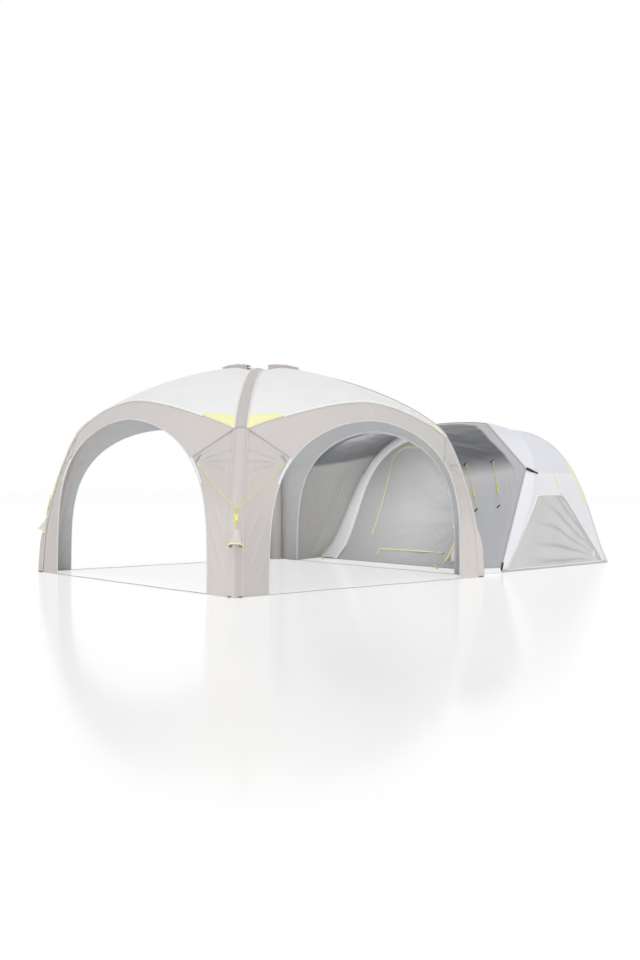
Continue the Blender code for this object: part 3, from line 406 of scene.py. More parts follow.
def cloth(name, material, columns, rows, place, thick=CLOTH):
    """Thin cloth: an outer and an inner skin joined at the rim, with the cut's metres as its UVs."""
    grid = [[place(i / columns, j / rows) for i in range(columns + 1)] for j in range(rows + 1)]
    wide = columns + 1
    count = wide * (rows + 1)
    across = [[0.0] * wide for _ in grid]
    down = [[0.0] * wide for _ in grid]
    for j, row in enumerate(grid):
        for i in range(wide):
            if i:
                across[j][i] = across[j][i - 1] + (row[i][0] - row[i - 1][0]).length
            if j:
                down[j][i] = down[j - 1][i] + (row[i][0] - grid[j - 1][i][0]).length
    verts, edge, shade, uvs = [], [], [], []
    for sign in (0.5, -0.5):
        for j, row in enumerate(grid):
            for i, item in enumerate(row):
                verts.append(item[0] + item[1] * (thick * sign) + ORIGIN)
                edge.append(min(across[j][i], across[j][-1] - across[j][i],
                                down[j][i], down[-1][i] - down[j][i]))
                shade.append((item[2] if sign > 0 else item[-1]) if len(item) > 2 else 0.0)
                uvs.append((across[j][i] - across[j][-1] / 2, down[j][i]))
    middle = (rows // 2) * wide + columns // 2
    face_normal = (verts[middle + 1] - verts[middle]).cross(verts[middle + wide] - verts[middle])
    flip = face_normal.dot(grid[rows // 2][columns // 2][1]) < 0
    faces = []
    for j in range(rows):
        for i in range(columns):
            a = j * wide + i
            quad = (a, a + 1, a + 1 + wide, a + wide)
            quad = quad[::-1] if flip else quad
            faces.append(quad)
            faces.append(tuple(k + count for k in reversed(quad)))
    rim = list(range(wide)) + [j * wide + columns for j in range(1, rows + 1)]
    rim += [rows * wide + i for i in range(columns - 1, -1, -1)] + [j * wide for j in range(rows - 1, 0, -1)]
    rim = rim[::-1] if flip else rim
    for a, b in zip(rim, rim[1:] + rim[:1]):
        faces.append((b, a, a + count, b + count))
    mesh = bpy.data.meshes.new(name)
    mesh.from_pydata([tuple(v) for v in verts], [], faces)
    for label, values in (("edge", edge), ("tone", shade), ("lining", [0.0] * count + [1.0] * count)):
        mesh.attributes.new(label, "FLOAT", "POINT").data.foreach_set("value", values)
    layer = mesh.uv_layers.new(name="UVMap")
    corners = [0] * len(mesh.loops)
    mesh.loops.foreach_get("vertex_index", corners)
    layer.data.foreach_set("uv", [value for k in corners for value in uvs[k]])
    mesh.validate()
    mesh.shade_smooth()
    mesh.set_sharp_from_angle(angle=radians(60))
    piece = link(name, mesh, material)
    piece["flat_width"] = max(row[-1] for row in across)
    piece["flat_length"] = max(down[-1])
    return piece


def declare(piece):
    """Works out the size a cloth was cut to and its area, then takes the size marks off the piece."""
    size = (piece["flat_width"], piece["flat_length"])
    area = min(sum(polygon.area for polygon in piece.data.polygons) / 2, 0.998 * size[0] * size[1])
    if area < 0.35 * size[0] * size[1]:
        size = (size[0], area / size[0] / 0.6)
    del piece["flat_width"], piece["flat_length"]


def tape(name, material, spots, width, nodes=(), body=BODY, rows=2, crown=0.0):
    """Flat tape along a path of points and normals, put in its place; crown lifts its middle."""
    last = len(spots) - 1

    def place(u, v):
        i = round(u * last)
        point, normal = spots[i]
        ahead = spots[min(i + 1, last)][0] - spots[max(i - 1, 0)][0]
        side = normal.cross(ahead).normalized()
        lift = crown * (1 - (2 * v - 1) ** 2)
        return point + side * width * (v - 0.5) + normal * lift, normal

    settle(cloth(name, material, last, rows, place, TAPE), nodes, body)


def tube(name, material, points, radius, sides=12, cyclic=False):
    """Curve with a round section along a list of points."""
    curve = bpy.data.curves.new(name, 'CURVE')
    curve.dimensions = '3D'
    curve.bevel_depth = radius
    curve.bevel_resolution = max(sides // 2 - 2, 0)
    curve.use_fill_caps = True
    spline = curve.splines.new('POLY')
    spline.points.add(len(points) - 1)
    spline.use_cyclic_u = cyclic
    for target, point in zip(spline.points, points):
        target.co = (*(point + ORIGIN), 1)
    spline.use_smooth = True
    return link(name, curve, material)


def loft(name, material, solids, sides=28):
    """Closed solids, each a run of rounded sections (centre, x axis, y axis, half x, half y, power)."""
    verts, faces = [], []
    for sections in solids:
        start = len(verts)
        for centre, x_axis, y_axis, half_x, half_y, power in sections:
            for k in range(sides):
                angle = 2 * pi * k / sides
                c, s = cos(angle), sin(angle)
                a = half_x * abs(c) ** (2 / power) * (1 if c > 0 else -1)
                b = half_y * abs(s) ** (2 / power) * (1 if s > 0 else -1)
                verts.append(centre + x_axis * a + y_axis * b + ORIGIN)
        runs = len(sections)
        for r in range(runs - 1):
            for k in range(sides):
                a, b = start + r * sides + k, start + r * sides + (k + 1) % sides
                faces.append((a, b, b + sides, a + sides))
        faces.append(tuple(range(start + sides - 1, start - 1, -1)))
        faces.append(tuple(range(start + (runs - 1) * sides, start + runs * sides)))
    mesh = bpy.data.meshes.new(name)
    mesh.from_pydata([tuple(v) for v in verts], [], faces)
    mesh.validate()
    mesh.shade_smooth()
    mesh.set_sharp_from_angle(angle=radians(40))
    return link(name, mesh, material)


def carve(piece, outline, plane_x, plane_y, start, end, operation='DIFFERENCE'):
    """Cuts a straight-sided outline out of a cloth, or keeps only what lies in it."""
    count = len(outline)
    turned = sum(a[0] * b[1] - a[1] * b[0] for a, b in zip(outline, outline[1:] + outline[:1]))
    if turned * plane_x.cross(plane_y).dot(end - start) < 0:
        outline = outline[::-1]
    verts = [plane_x * a + plane_y * b + place + ORIGIN for place in (start, end) for a, b in outline]
    faces = [tuple(range(count - 1, -1, -1)), tuple(range(count, 2 * count))]
    faces += [(k, (k + 1) % count, (k + 1) % count + count, k + count) for k in range(count)]
    mesh = bpy.data.meshes.new("carve")
    mesh.from_pydata([tuple(v) for v in verts], [], faces)
    cutter = bpy.data.objects.new("carve", mesh)
    bpy.context.scene.collection.objects.link(cutter)
    modifier = piece.modifiers.new("carve", 'BOOLEAN')
    modifier.operation = operation
    modifier.solver = 'FAST'
    modifier.object = cutter
    graph = bpy.context.evaluated_depsgraph_get()
    shaped = bpy.data.meshes.new_from_object(piece.evaluated_get(graph))
    piece.modifiers.clear()
    piece.data = shaped
    bpy.data.objects.remove(cutter, do_unlink=True)
    shaped.set_sharp_from_angle(angle=radians(60))
    return piece


def smooth_point(points, step):
    """Catmull-Rom point through a list of vectors; step counts from the first one."""
    last = len(points) - 1
    i = min(int(step), last - 1)
    t = step - i
    b, c = points[i], points[i + 1]
    a = points[i - 1] if i > 0 else 2 * b - c
    d = points[i + 2] if i + 2 <= last else 2 * c - b
    return 0.5 * (2 * b + (c - a) * t + (2 * a - 5 * b + 4 * c - d) * t ** 2
                  + (3 * b - a - 3 * c + d) * t ** 3)


def resample(points, count):
    last = len(points) - 1
    return [smooth_point(points, last * i / count) for i in range(count + 1)]


def steps(count):
    """Even shares from 0 to 1."""
    return [k / count for k in range(count + 1)]


def turned(turn, point, normal, lift=0.0):
    return turn @ (point + normal * lift), turn @ normal


def bisect(low, high, goes_on, turns=36):
    """Place in a range up to which a test holds."""
    for _ in range(turns):
        middle = (low + high) / 2
        if goes_on(middle):
            low = middle
        else:
            high = middle
    return low


def bump_step(x, low, high):
    t = min(1.0, max(0.0, (x - low) / (high - low)))
    return t * t * (3 - 2 * t)


def ruffle(point, size, seed=0.0):
    return noise.noise(Vector((point.x / size + seed, point.y / size, point.z / size)))


# Shelter geometry, as in the part's source

BEAM_PATH = [Vector((r * FOOT_RADIUS, z * BEAM_CROWN_HEIGHT)) for r, z in BEAM_PATH_SHARES]
MIRRORED_PATH = [Vector((-BEAM_PATH[1].x, BEAM_PATH[1].y))] + BEAM_PATH


def beam_centre(step):
    return smooth_point(MIRRORED_PATH, step + 1)


def beam_normal(step):
    small = 0.02
    along = beam_centre(min(step + small, FOOT_STEP)) - beam_centre(max(step - small, 0))
    along.normalize()
    return Vector((-along.y, along.x)) * (1 if along.x > 0 or along.y < 0 else -1)


def diagonal_frame(corner):
    outward = Vector((cos(corner), sin(corner), 0))
    return outward, Vector((-outward.y, outward.x, 0))


def on_diagonal(corner, radius, height, sideways=0.0):
    outward, across = diagonal_frame(corner)
    return outward * radius + across * sideways + UP * height


def flank(step, slack=0.0):
    surface = beam_centre(step) + beam_normal(step) * (FLANK_DEPTH + slack * cos(FLANK_ANGLE))
    sideways = FLANK_SIDE + slack * sin(FLANK_ANGLE)
    return (surface.x + sideways) / sqrt(2), (surface.x - sideways) / sqrt(2), surface.y


CORNER_DEPTH, _, CORNER_HEIGHT = flank(CORNER_STEP)


def gore_local(step, share):
    depth, half, height = flank(step)
    reach = depth / CORNER_DEPTH
    middle_depth = depth + (HALF - SEAM_INSET - CORNER_DEPTH) * reach
    crown = BEAM_CROWN_HEIGHT + FLANK_DEPTH
    middle_height = crown - (crown - SEAM_HEIGHT) * reach ** 2
    return Vector((depth + (middle_depth - depth) * (1 - share ** 2), half * share,
                   height + (middle_height - height) * (1 - abs(share) ** SEAM_POWER)))


def arch_half_width(height):
    rise = min(1.0, (max(height, 0.0) / ARCH_HEIGHT) ** (1 / ARCH_RISE_POWER))
    return ARCH_WIDTH / 2 * cos(asin(rise)) ** ARCH_SIDE_POWER


def arch_height(half_width):
    share = min(1.0, abs(half_width) / (ARCH_WIDTH / 2)) ** (1 / ARCH_SIDE_POWER)
    return ARCH_HEIGHT * sin(acos(share)) ** ARCH_RISE_POWER


SIDE_SEAM_HALF = arch_half_width(SIDE_SEAM_HEIGHT)


def side_matrix(side):
    return Matrix.Rotation(side, 3, 'Z')


def valance_local(share, drop):
    top = gore_local(CORNER_STEP, share)
    half = SIDE_SEAM_HALF * share
    bottom = Vector((HALF, half, arch_height(half)))
    return top.lerp(bottom, drop), Vector((1, 0, 0.6 * (1 - drop))).normalized()


def wing_edge(height):
    return Vector((HALF, arch_half_width(height), height))


def wrap_local(share, rise):
    """Leg wrap seen on its corner's diagonal: share -1 and 1 are the arch edges, 0 the corner."""
    step = FOOT_STEP + (CORNER_STEP - FOOT_STEP) * rise
    centre = beam_centre(step)
    side = 1 if share > 0 else -1
    tilt = 0.6 * rise ** 6
    slack = WRAP_SLACK * (1 - rise ** 4)
    radius = WRAP_RADIUS + slack
    flank_depth, flank_half, flank_height = flank(step, slack)
    level = flank_height - FOOT_LEVEL * (1 - rise) ** 4
    if abs(share) <= ARC_SHARE:
        angle = FLANK_ANGLE * share / ARC_SHARE
        surface = centre + beam_normal(step) * radius * cos(angle)
        point = Vector((surface.x, radius * sin(angle), 0))
        point.z = level + (surface.y - flank_height) * rise
        return point, Vector((cos(angle), sin(angle), tilt)).normalized()
    way = (abs(share) - ARC_SHARE) / (1 - ARC_SHARE)
    edge = wing_edge(SIDE_SEAM_HEIGHT * level / CORNER_HEIGHT)
    local = Vector((flank_depth, flank_half, level)).lerp(edge, way)
    point = Vector(((local.x + local.y) / sqrt(2), side * (local.x - local.y) / sqrt(2), local.z))
    direction = Vector((1, side, 0)) / sqrt(2) + UP * tilt * (1 - way)
    return point, direction.normalized()


FOOT_LEVEL = flank(FOOT_STEP, WRAP_SLACK)[2]


def rise_at(height, share=0.0):
    """Rise along the leg at which a column of its wrap reaches a height."""
    return bisect(0.0, 1.0, lambda rise: wrap_local(share, rise)[0].z < height)


def roof_height(depth, half):
    def share_at(step):
        return min(1.0, half / max(flank(step)[1], GAP))

    found = bisect(0.0, CORNER_STEP, lambda step: gore_local(step, share_at(step)).x < depth)
    return gore_local(found, share_at(found)).z


def leg_guyline_route(corner):
    """Down from the left wing, round the tail loop, and up to the right wing."""
    outward, across = diagonal_frame(corner)
    top, top_direction = wrap_local(GUY_TOP_SHARE, rise_at(GUY_TOP_HEIGHT, GUY_TOP_SHARE))
    top += top_direction * (FABRIC / 2 + CORD_DIAMETER / 2 + GAP)
    knot_radius = wrap_local(0, rise_at(GUY_KNOT_HEIGHT))[0].x + FABRIC / 2 + GUY_KNOT_PROUD
    tail_radius = wrap_local(0, rise_at(GUY_TAIL_HEIGHT))[0].x + FABRIC / 2 + GUY_KNOT_PROUD
    strand = STRAND_SPACING / 2
    knot = Vector((knot_radius, strand, GUY_KNOT_HEIGHT))
    half_route = []
    for share in (0.0, 0.3, 0.6, 0.9):
        point = top.lerp(knot, share)
        point.z -= 0.048 * share * (1 - share)
        half_route.append(point)
    half_route.append(knot + Vector((0, strand * 0.12, -strand * 0.4)))
    for share in (0.15, 0.6):
        half_route.append(knot.lerp(Vector((tail_radius, strand, GUY_TAIL_HEIGHT)), share))
    for angle in (0.0, 30.0, 60.0):
        turn = radians(angle)
        half_route.append(Vector((tail_radius, strand * cos(turn), GUY_TAIL_HEIGHT - strand * sin(turn))))
    bottom = Vector((tail_radius, 0, GUY_TAIL_HEIGHT - strand))
    local = half_route + [bottom] + [Vector((p.x, -p.y, p.z)) for p in reversed(half_route)]
    return [outward * p.x + across * p.y + UP * p.z for p in local]


# Tent and connector geometry, as in the part's source

def arch_angle(share):
    return pi / 2 * (1 - abs(2 * share - 1)) ** FEET_BUNCHING


def arch_yz(share, half_width, height, side_power, rise_power):
    angle = arch_angle(share)
    side = -1 if share < 0.5 else 1
    out = side * half_width * max(cos(angle), 0) ** side_power
    return Vector((0, out, height * sin(angle) ** rise_power))


def arch_normal(share, curve):
    small = 0.004
    low, high = max(share - small, 0), min(share + small, 1)
    if share < small or share > 1 - small:
        return Vector((0, -1 if share < 0.5 else 1, 0))
    along = curve(high) - curve(low)
    normal = Vector((0, -along.z, along.y))
    return (-normal if normal.z < 0 else normal).normalized()


def front_arch(share):
    return arch_yz(share, FRONT_HALF_WIDTH, FRONT_HEIGHT, FRONT_SIDE_POWER, FRONT_RISE_POWER)


def rear_arch(share):
    return arch_yz(share, REAR_HALF_WIDTH, REAR_HEIGHT, REAR_SIDE_POWER, REAR_RISE_POWER)


def shelter_arch(share):
    return arch_yz(share, ARCH_WIDTH / 2, ARCH_HEIGHT, ARCH_SIDE_POWER, ARCH_RISE_POWER)


def front_x(height):
    return TENT_FRONT_X + FRONT_LEAN * (max(height, 0) / FRONT_HEIGHT) ** FRONT_LEAN_POWER


def rear_x(height):
    return TENT_REAR_X - REAR_LEAN * (max(height, 0) / REAR_HEIGHT) ** REAR_LEAN_POWER


def tent_skin(share, along, lift=0.0):
    front, rear = front_arch(share), rear_arch(share)
    front.x, rear.x = front_x(front.z), rear_x(rear.z)
    normal = arch_normal(share, front_arch).lerp(arch_normal(share, rear_arch), along).normalized()
    return front.lerp(rear, along) + normal * lift, normal


def hem_share(share):
    return HEM_APEX_SHARE * sin(arch_angle(share)) ** 1.6


def tunnel_point(share, way):
    """way 0 is the shelter's arch, 1 the tent's front arch, 2 the hem on the fly."""
    if way <= 1:
        start = shelter_arch(share)
        start.x = HALF + FABRIC / 2 + GAP
        end, end_normal = tent_skin(share, 0, HEM_LIFT)
        normal = arch_normal(share, shelter_arch).lerp(end_normal, way).normalized()
        sag = TUNNEL_SAG * 4 * way * (1 - way) * min(1.0, start.z / ARCH_HEIGHT)
        return start.lerp(end, way) - normal * sag, normal
    return tent_skin(share, hem_share(share) * (way - 1), HEM_LIFT)


@lru_cache(maxsize=None)
def hem_way(share):
    """Where the connector's hem lies on its way to the tent: straight from the top to the buckle and down."""
    share = min(share, 1 - share)
    eye = CAMERA_PLACE - ORIGIN
    end = HEM_TOP if share > HEM_SHOULDER[0] else HEM_FOOT
    shoulder = tunnel_point(*HEM_SHOULDER)[0] - eye
    plane = shoulder.cross(tunnel_point(*end)[0] - eye)
    plane *= 1 if plane.dot(Vector((1, 0, 0))) > 0 else -1
    return bisect(0.4, 1.0, lambda way: plane.dot(tunnel_point(share, way)[0] - eye) < 0, 24)


def even_share(u):
    """Spreads columns more evenly round an arch than the part's own bunching."""
    near = (1 - abs(2 * u - 1)) ** (1 / 1.35)
    return near / 2 if u < 0.5 else 1 - near / 2


def line_point(way, share):
    point, normal = tunnel_point(share, way)
    return point + normal * (FABRIC / 2 + LINE_PROUD)


def line_ends(name):
    way, share = LINE_TOPS[name]
    top = line_point(way, share)
    foot = bisect(0.0, share, lambda low: line_point(way, low).z < top.z - LINE_DROP, 40)
    return top, line_point(way, foot)


def line_route(name):
    top, bottom = line_ends(name)
    return [top.lerp(bottom, t) for t in steps(20)]


# Camera

def make_camera():
    forward = Vector((cos(YAW) * cos(PITCH), sin(YAW) * cos(PITCH), sin(PITCH)))
    right = Vector((sin(YAW), -cos(YAW), 0))
    up = right.cross(forward)
    right, up = right * cos(ROLL) + up * sin(ROLL), up * cos(ROLL) - right * sin(ROLL)
    data = bpy.data.cameras.new("camera")
    data.sensor_width = 36.0
    data.lens = LENS
    data.clip_end = 200.0
    camera = bpy.data.objects.new("camera", data)
    camera.matrix_world = (Matrix.Translation(CAMERA_PLACE)
                           @ Matrix((right, up, -forward)).transposed().to_4x4())
    bpy.context.scene.collection.objects.link(camera)
    bpy.context.scene.camera = camera


# Cords and their runners

def declare_cord(route):
    length = sum((b - a).length for a, b in zip(route, route[1:]))


def knot_curve(centre, x_axis, y_axis, z_axis, size, tail):
    """Overhand knot with a short tail that ends in a heat-sealed tip."""
    points = []
    for k in range(40):
        t = 2 * pi * k / 40
        points.append(centre + x_axis * (sin(t) + 2 * sin(2 * t)) * size / 3
                      + z_axis * (cos(t) - 2 * cos(2 * t)) * size / 3 - y_axis * sin(3 * t) * size / 3)
    return points + [points[-1].lerp(tail, k / 6) for k in range(1, 7)]


def runner_sections(place, across, out, down, width, depth, length, waist):
    """Runner along its cord: wide ends and a waist, with rounded tips."""
    sections = []
    for t in (-1.0, -0.985, -0.93, -0.8, -0.55, -0.3, 0.0, 0.3, 0.55, 0.8, 0.93, 0.985, 1.0):
        full = waist + (1 - waist) * abs(t) ** 1.6
        tip = 0.72 if abs(t) > 0.99 else (0.9 if abs(t) > 0.95 else 1.0)
        sections.append((place + down * length / 2 * t, across, out, width / 2 * full * tip,
                         depth / 2 * tip * (0.8 + 0.2 * abs(t)), 3.2))
    return sections


def make_leg_cord(corner_name, corner):
    outward, across = diagonal_frame(corner)
    route = resample(leg_guyline_route(corner), 40)
    line = settle(tube("guyline_" + corner_name, YELLOW_CORD, route, CORD_DIAMETER / 2),
                  ["leg_guyline_" + corner_name])
    knot_radius = wrap_local(0, rise_at(GUY_KNOT_HEIGHT))[0].x
    tail_radius = wrap_local(0, rise_at(GUY_TAIL_HEIGHT))[0].x
    fall = GUY_KNOT_HEIGHT - GUY_TAIL_HEIGHT
    down = (outward * (tail_radius - knot_radius) - UP * fall).normalized()
    way = (GUY_KNOT_HEIGHT - RUNNER_HEIGHT) / fall
    radius = knot_radius + (tail_radius - knot_radius) * way + FABRIC / 2 + GUY_KNOT_PROUD
    place = outward * radius + UP * RUNNER_HEIGHT
    out = across.cross(down).normalized()
    out = out if out.dot(outward) > 0 else -out
    sections = runner_sections(place, across, out, down, RUNNER_WIDTH, RUNNER_DEPTH, RUNNER_LENGTH, 0.55)
    runner = settle(loft("runner_" + corner_name, YELLOW_PLASTIC, [sections]),
                    ["leg_runner_" + corner_name], "leg_runner_body_" + corner_name)
    tie = outward * (knot_radius + FABRIC / 2 + GUY_KNOT_PROUD + 0.002) + UP * (GUY_KNOT_HEIGHT - 0.004)
    tail = tie + across * -0.045 + UP * 0.055 + outward * 0.006
    knot = settle(tube("guyline_knot_" + corner_name, YELLOW_CORD,
                       knot_curve(tie, across, outward, UP, 0.011, tail), CORD_DIAMETER / 2))
    tip = settle(loft("guyline_tip_" + corner_name, YELLOW_PLASTIC, [[
        (tail + UP * 0.013 * t - across * 0.011 * t, across, outward, 0.006 * s, 0.006 * s, 2.0)
        for t, s in ((-0.5, 0.5), (-0.35, 0.9), (0.2, 1.0), (0.8, 0.95), (1.0, 0.5))]]))
    declare_cord(route)


def make_connector_cord(name):
    route = resample(line_route(name), 40)
    line = settle(tube("connector_line_" + name, BRIGHT_CORD, route, CORD_DIAMETER / 2),
                  ["connector_guyline_" + name])
    top, bottom = line_ends(name)
    down = (bottom - top).normalized()
    place = top + down * LINE_RUNNER_DROP
    across = (Vector((1, 0, 0)) - down * down.x).normalized()
    out = across.cross(down).normalized()
    length, width, depth = SINGLE_RUNNER_LENGTH, SINGLE_RUNNER_WIDTH, RUNNER_DEPTH
    body = runner_sections(place, across, out, down, width, depth, length, 0.72)
    runner = settle(loft("connector_slider_" + name, BRIGHT_PLASTIC, [body]),
                    ["connector_runner_" + name], "connector_runner_body_" + name)
    end = place + down * length * (0.54 if name == "front" else -0.54)
    ring = [(end + down * 0.006 * t, across, out, 0.0085 * s, 0.0065 * s, 2.4)
            for t, s in ((-1.0, 0.7), (-0.7, 1.0), (0.7, 1.0), (1.0, 0.7))]
    settle(loft("connector_slider_tip_" + name, ORANGE_PLASTIC, [ring]),
                         body="connector_runner_body_" + name)
    declare_cord(route)
    for label, end_point in (("top", route[0]), ("foot", route[-1])):
        inward = -tunnel_point(LINE_TOPS[name][1], LINE_TOPS[name][0])[1]
        hook = [(end_point + inward * LINE_PROUD * t, across, down, 0.005 * s, 0.008 * s, 2.6)
                for t, s in ((-0.10, 0.6), (-0.02, 1.0), (0.9, 1.0), (0.99, 1.2))]
        settle(loft(f"connector_hook_{name}_{label}", BLACK_PLASTIC, [hook]))


# Shelter pieces

def pull_folds(x, z, centre_x, centre_z, size, count, height):
    """Creases that run out from a point where a guy-line pulls the cloth."""
    dx, dz = centre_x - x, z - centre_z
    away = sqrt(dx * dx + dz * dz)
    turn = atan2(dz, dx)
    ridges = max(0.0, cos(turn * count + 1.3 * sin(turn * 3.1))) ** 2 * exp(-(turn / 0.8) ** 2)
    return -height * ridges * exp(-away / size) * bump_step(away, 0.03, 0.13)


def leg_folds(share, point, seed):
    """How far the leg's cloth stands out or in: beam edges, guy-line pulls and slanting creases."""
    way = max(0.0, (abs(share) - ARC_SHARE) / (1 - ARC_SHARE))
    if way <= 0:
        return 0.0012 * ruffle(point, 0.12, seed)
    width = WING_WIDTH * way
    guy = WING_WIDTH * (GUY_TOP_SHARE - ARC_SHARE) / (1 - ARC_SHARE)
    fold = pull_folds(width, point.z, guy, GUY_TOP_HEIGHT, 0.30, 17, 0.021)
    fold -= 0.007 * exp(-(way / 0.10) ** 2)
    slant = point.z * 0.62 - width + 0.04 * ruffle(point, 0.5, seed)
    lower = bump_step(point.z, 0.02, 0.25) * (1 - bump_step(point.z, 0.75, 1.05)) * sin(pi * min(way, 1.0))
    fold += 0.008 * lower * max(0.0, sin(2 * pi * slant / 0.19)) ** 4
    fold += 0.003 * ruffle(point, 0.28, seed + 7)
    return fold * (1 - bump_step(way, 0.93, 1.0) * 0.7)


def make_leg(corner_name, corner):
    turn = Matrix.Rotation(corner, 3, 'Z')

    def place(u, v):
        share = 2 * u - 1
        point, direction = wrap_local(share, v ** 0.95)
        fold = leg_folds(share, point, corner)
        angle = FLANK_ANGLE * share / ARC_SHARE
        if abs(angle) < FLANK_ANGLE:
            square = (WRAP_RADIUS + WRAP_SLACK) * (1 / cos(pi / 4 - abs(angle)) - 1)
            point += Vector((cos(angle), sin(angle), 0)) * square * (1 - bump_step(point.z, 0.34, 0.62))
        # Painted shade and highlight in the tone: below about 1.15 m the wing on the positive side is darker
        # as painted shade of the side away from the light, creases are darkened as painted shade and raised
        # folds lightened as painted highlight; higher up the leg takes a darker fixed tone.
        top = bump_step(point.z, 0.45, 1.15)
        dark = 0.42 * top + 0.45 * (1 - top) * bump_step(share, -0.06, 0.06)
        dark += min(0.5, 30 * max(0.0, -fold - 0.0025)) - 16 * max(0.0, fold - 0.002)
        dark = min(1.0, max(0.0, dark))
        return turn @ (point + direction * fold), turn @ direction, dark, 0.0

    declare(settle(cloth("leg_cloth_" + corner_name, TAUPE, 100, 170, place),
                   ["leg_wrap_" + corner_name]))
    seam = [turned(turn, *wrap_local(2 * t - 1, 0.999), 0.003) for t in steps(100)]
    tape("leg_top_seam_" + corner_name, SEAM_SHADE, seam, 0.010, rows=1)
    for side, label in ((-1, "a"), (1, "b")):
        seam = [turned(turn, *wrap_local(side * (ARC_SHARE + 0.005), t), 0.0015) for t in steps(60)]
        tape(f"leg_seam_{corner_name}_{label}", TAUPE, seam, 0.014, rows=1)
        if corner_name in GUYED_CORNERS:
            share = side * 0.985
            trim = [turned(turn, *wrap_local(share, rise_at(1.06 + 0.36 * t, share)), 0.006)
                    for t in steps(24)]
            tape(f"edge_trim_{corner_name}_{label}", WHITE_TAPE, trim, 0.022)
            anchor, direction = wrap_local(side * GUY_TOP_SHARE, rise_at(GUY_TOP_HEIGHT, GUY_TOP_SHARE))
            inner = wrap_local(side * (GUY_TOP_SHARE - 0.06),
                               rise_at(GUY_TOP_HEIGHT + 0.03, GUY_TOP_SHARE))[0]
            tab = [(turn @ (anchor.lerp(inner, t) + direction * (0.004 + 0.006 * sin(pi * t))), trim[-1][1])
                   for t in (-0.35, -0.1, 0.2, 0.5, 0.75, 1.0)]
            tape(f"guy_tab_{corner_name}_{label}", WEBBING, tab, 0.022)


def make_leg_tails(corner_name, corner):
    """Two dark peg loops at the leg's foot, turned out on the ground."""
    outward, across = diagonal_frame(corner)
    for side in (-1, 1):
        start = outward * (FOOT_RADIUS + 0.02) + across * side * 0.05
        points = []
        for k in range(13):
            angle = pi * k / 12
            points.append(start + outward * (0.035 + 0.045 * sin(angle)) + across * side * 0.020 * cos(angle)
                          + UP * (0.006 + 0.004 * sin(angle)))
        loop = tube(f"peg_loop_{corner_name}_{'a' if side < 0 else 'b'}", DARK_WEBBING, points, 0.004, 8)
        settle(loop)


def make_pocket(corner_name, corner):
    turn = Matrix.Rotation(corner, 3, 'Z')
    top, mouth = rise_at(POCKET_TOP), rise_at(POCKET_MOUTH)
    spread_share = 0.88 * POCKET_SPREAD

    def place(u, v):
        across = 2 * u - 1
        share = across * spread_share
        lip = mouth + (top - mouth) * 0.24 * (1 - across ** 2)
        point, direction = wrap_local(share * (0.30 + 0.70 * v), top + (lip - top) * v)
        proud = 0.75 * POCKET_PROUD * v ** 1.4 * (1 - across ** 2)
        flat = Vector((direction.x, direction.y, 0)).normalized()
        pleat = 0.003 * sin(across * 11) * v * (1 - across ** 2)
        return turn @ (point + flat * (FABRIC / 2 + 0.001 + proud + pleat)), turn @ flat

    declare(settle(cloth("pocket_cloth_" + corner_name, TAUPE, 40, 24, place),
                   ["leg_pocket_" + corner_name]))
    lip = [place(t, 1.0)[0] for t in steps(40)]
    settle(tube("pocket_trim_" + corner_name, YELLOW, lip, 0.0075, 8))

    # Painted shadow: dark patch on the leg between the mouth and the lip, where shade falls inside the
    # pocket.
    def place_painted_shadow(u, v):
        across = 1.9 * u - 0.95
        lip = mouth + (top - mouth) * (0.24 * (1 - across ** 2) + 0.06)
        point, direction = wrap_local(across * spread_share, mouth + (lip - mouth) * v)
        return turn @ (point + direction * 0.006), turn @ direction

    settle(cloth("pocket_lining_" + corner_name, POCKET_SHADE, 24, 4, place_painted_shadow))


def sleeve_ray(corner, step, angle):
    """Centre of a beam at a step, and the way out from it at an angle from the ridge."""
    outward, across = diagonal_frame(corner)
    normal = beam_normal(step)
    upward = outward * normal.x + UP * normal.y
    return on_diagonal(corner, *beam_centre(step)), upward * cos(angle) + across * sin(angle)


def make_gusset(corner_name, corner):
    cover = FABRIC / 2 + 0.003

    def place(u, v):
        w = 2 * u - 1
        side = 1 if w > 0 else -1
        out = max(0.0, (abs(w) - GUSSET_ARC_SHARE) / (1 - GUSSET_ARC_SHARE))
        step = CORNER_STEP - GUSSET_RISE * v * (1 - out * (1 - GUSSET_TIP_SHARE))
        angle = FLANK_ANGLE * min(1.0, abs(w) / GUSSET_ARC_SHARE) * side
        centre, radial = sleeve_ray(corner, step, angle)
        if out == 0:
            return centre + radial * (WRAP_RADIUS + cover), radial
        turn = side_matrix(corner + side * pi / 4)
        local = gore_local(step, -side * (1 - GUSSET_REACH_SHARE * out))
        flat = turn @ Vector((1, 0, 1)).normalized()
        direction = radial.lerp(flat, min(1.0, 3 * out)).normalized()
        return turn @ local + direction * cover, direction

    declare(settle(cloth("gusset_cloth_" + corner_name, YELLOW, 70, 10, place),
                   ["corner_gusset_" + corner_name]))


def make_sleeve_strip(corner_name, corner):
    """Flat taupe strip over the ridge, which covers the sleeve from the crown down to the leg."""
    def place(u, v):
        w = 2 * u - 1
        centre, radial = sleeve_ray(corner, 0.05 + (CORNER_STEP + 0.02 - 0.05) * v, FLANK_ANGLE * 1.02 * w)
        covered = 1.0 if abs(w) > 0.78 else 0.0
        return centre + radial * (WRAP_RADIUS + FABRIC / 2 + 0.0045), radial, covered

    declare(settle(cloth("ridge_strip_" + corner_name, SLEEVE, 28, 90, place)))


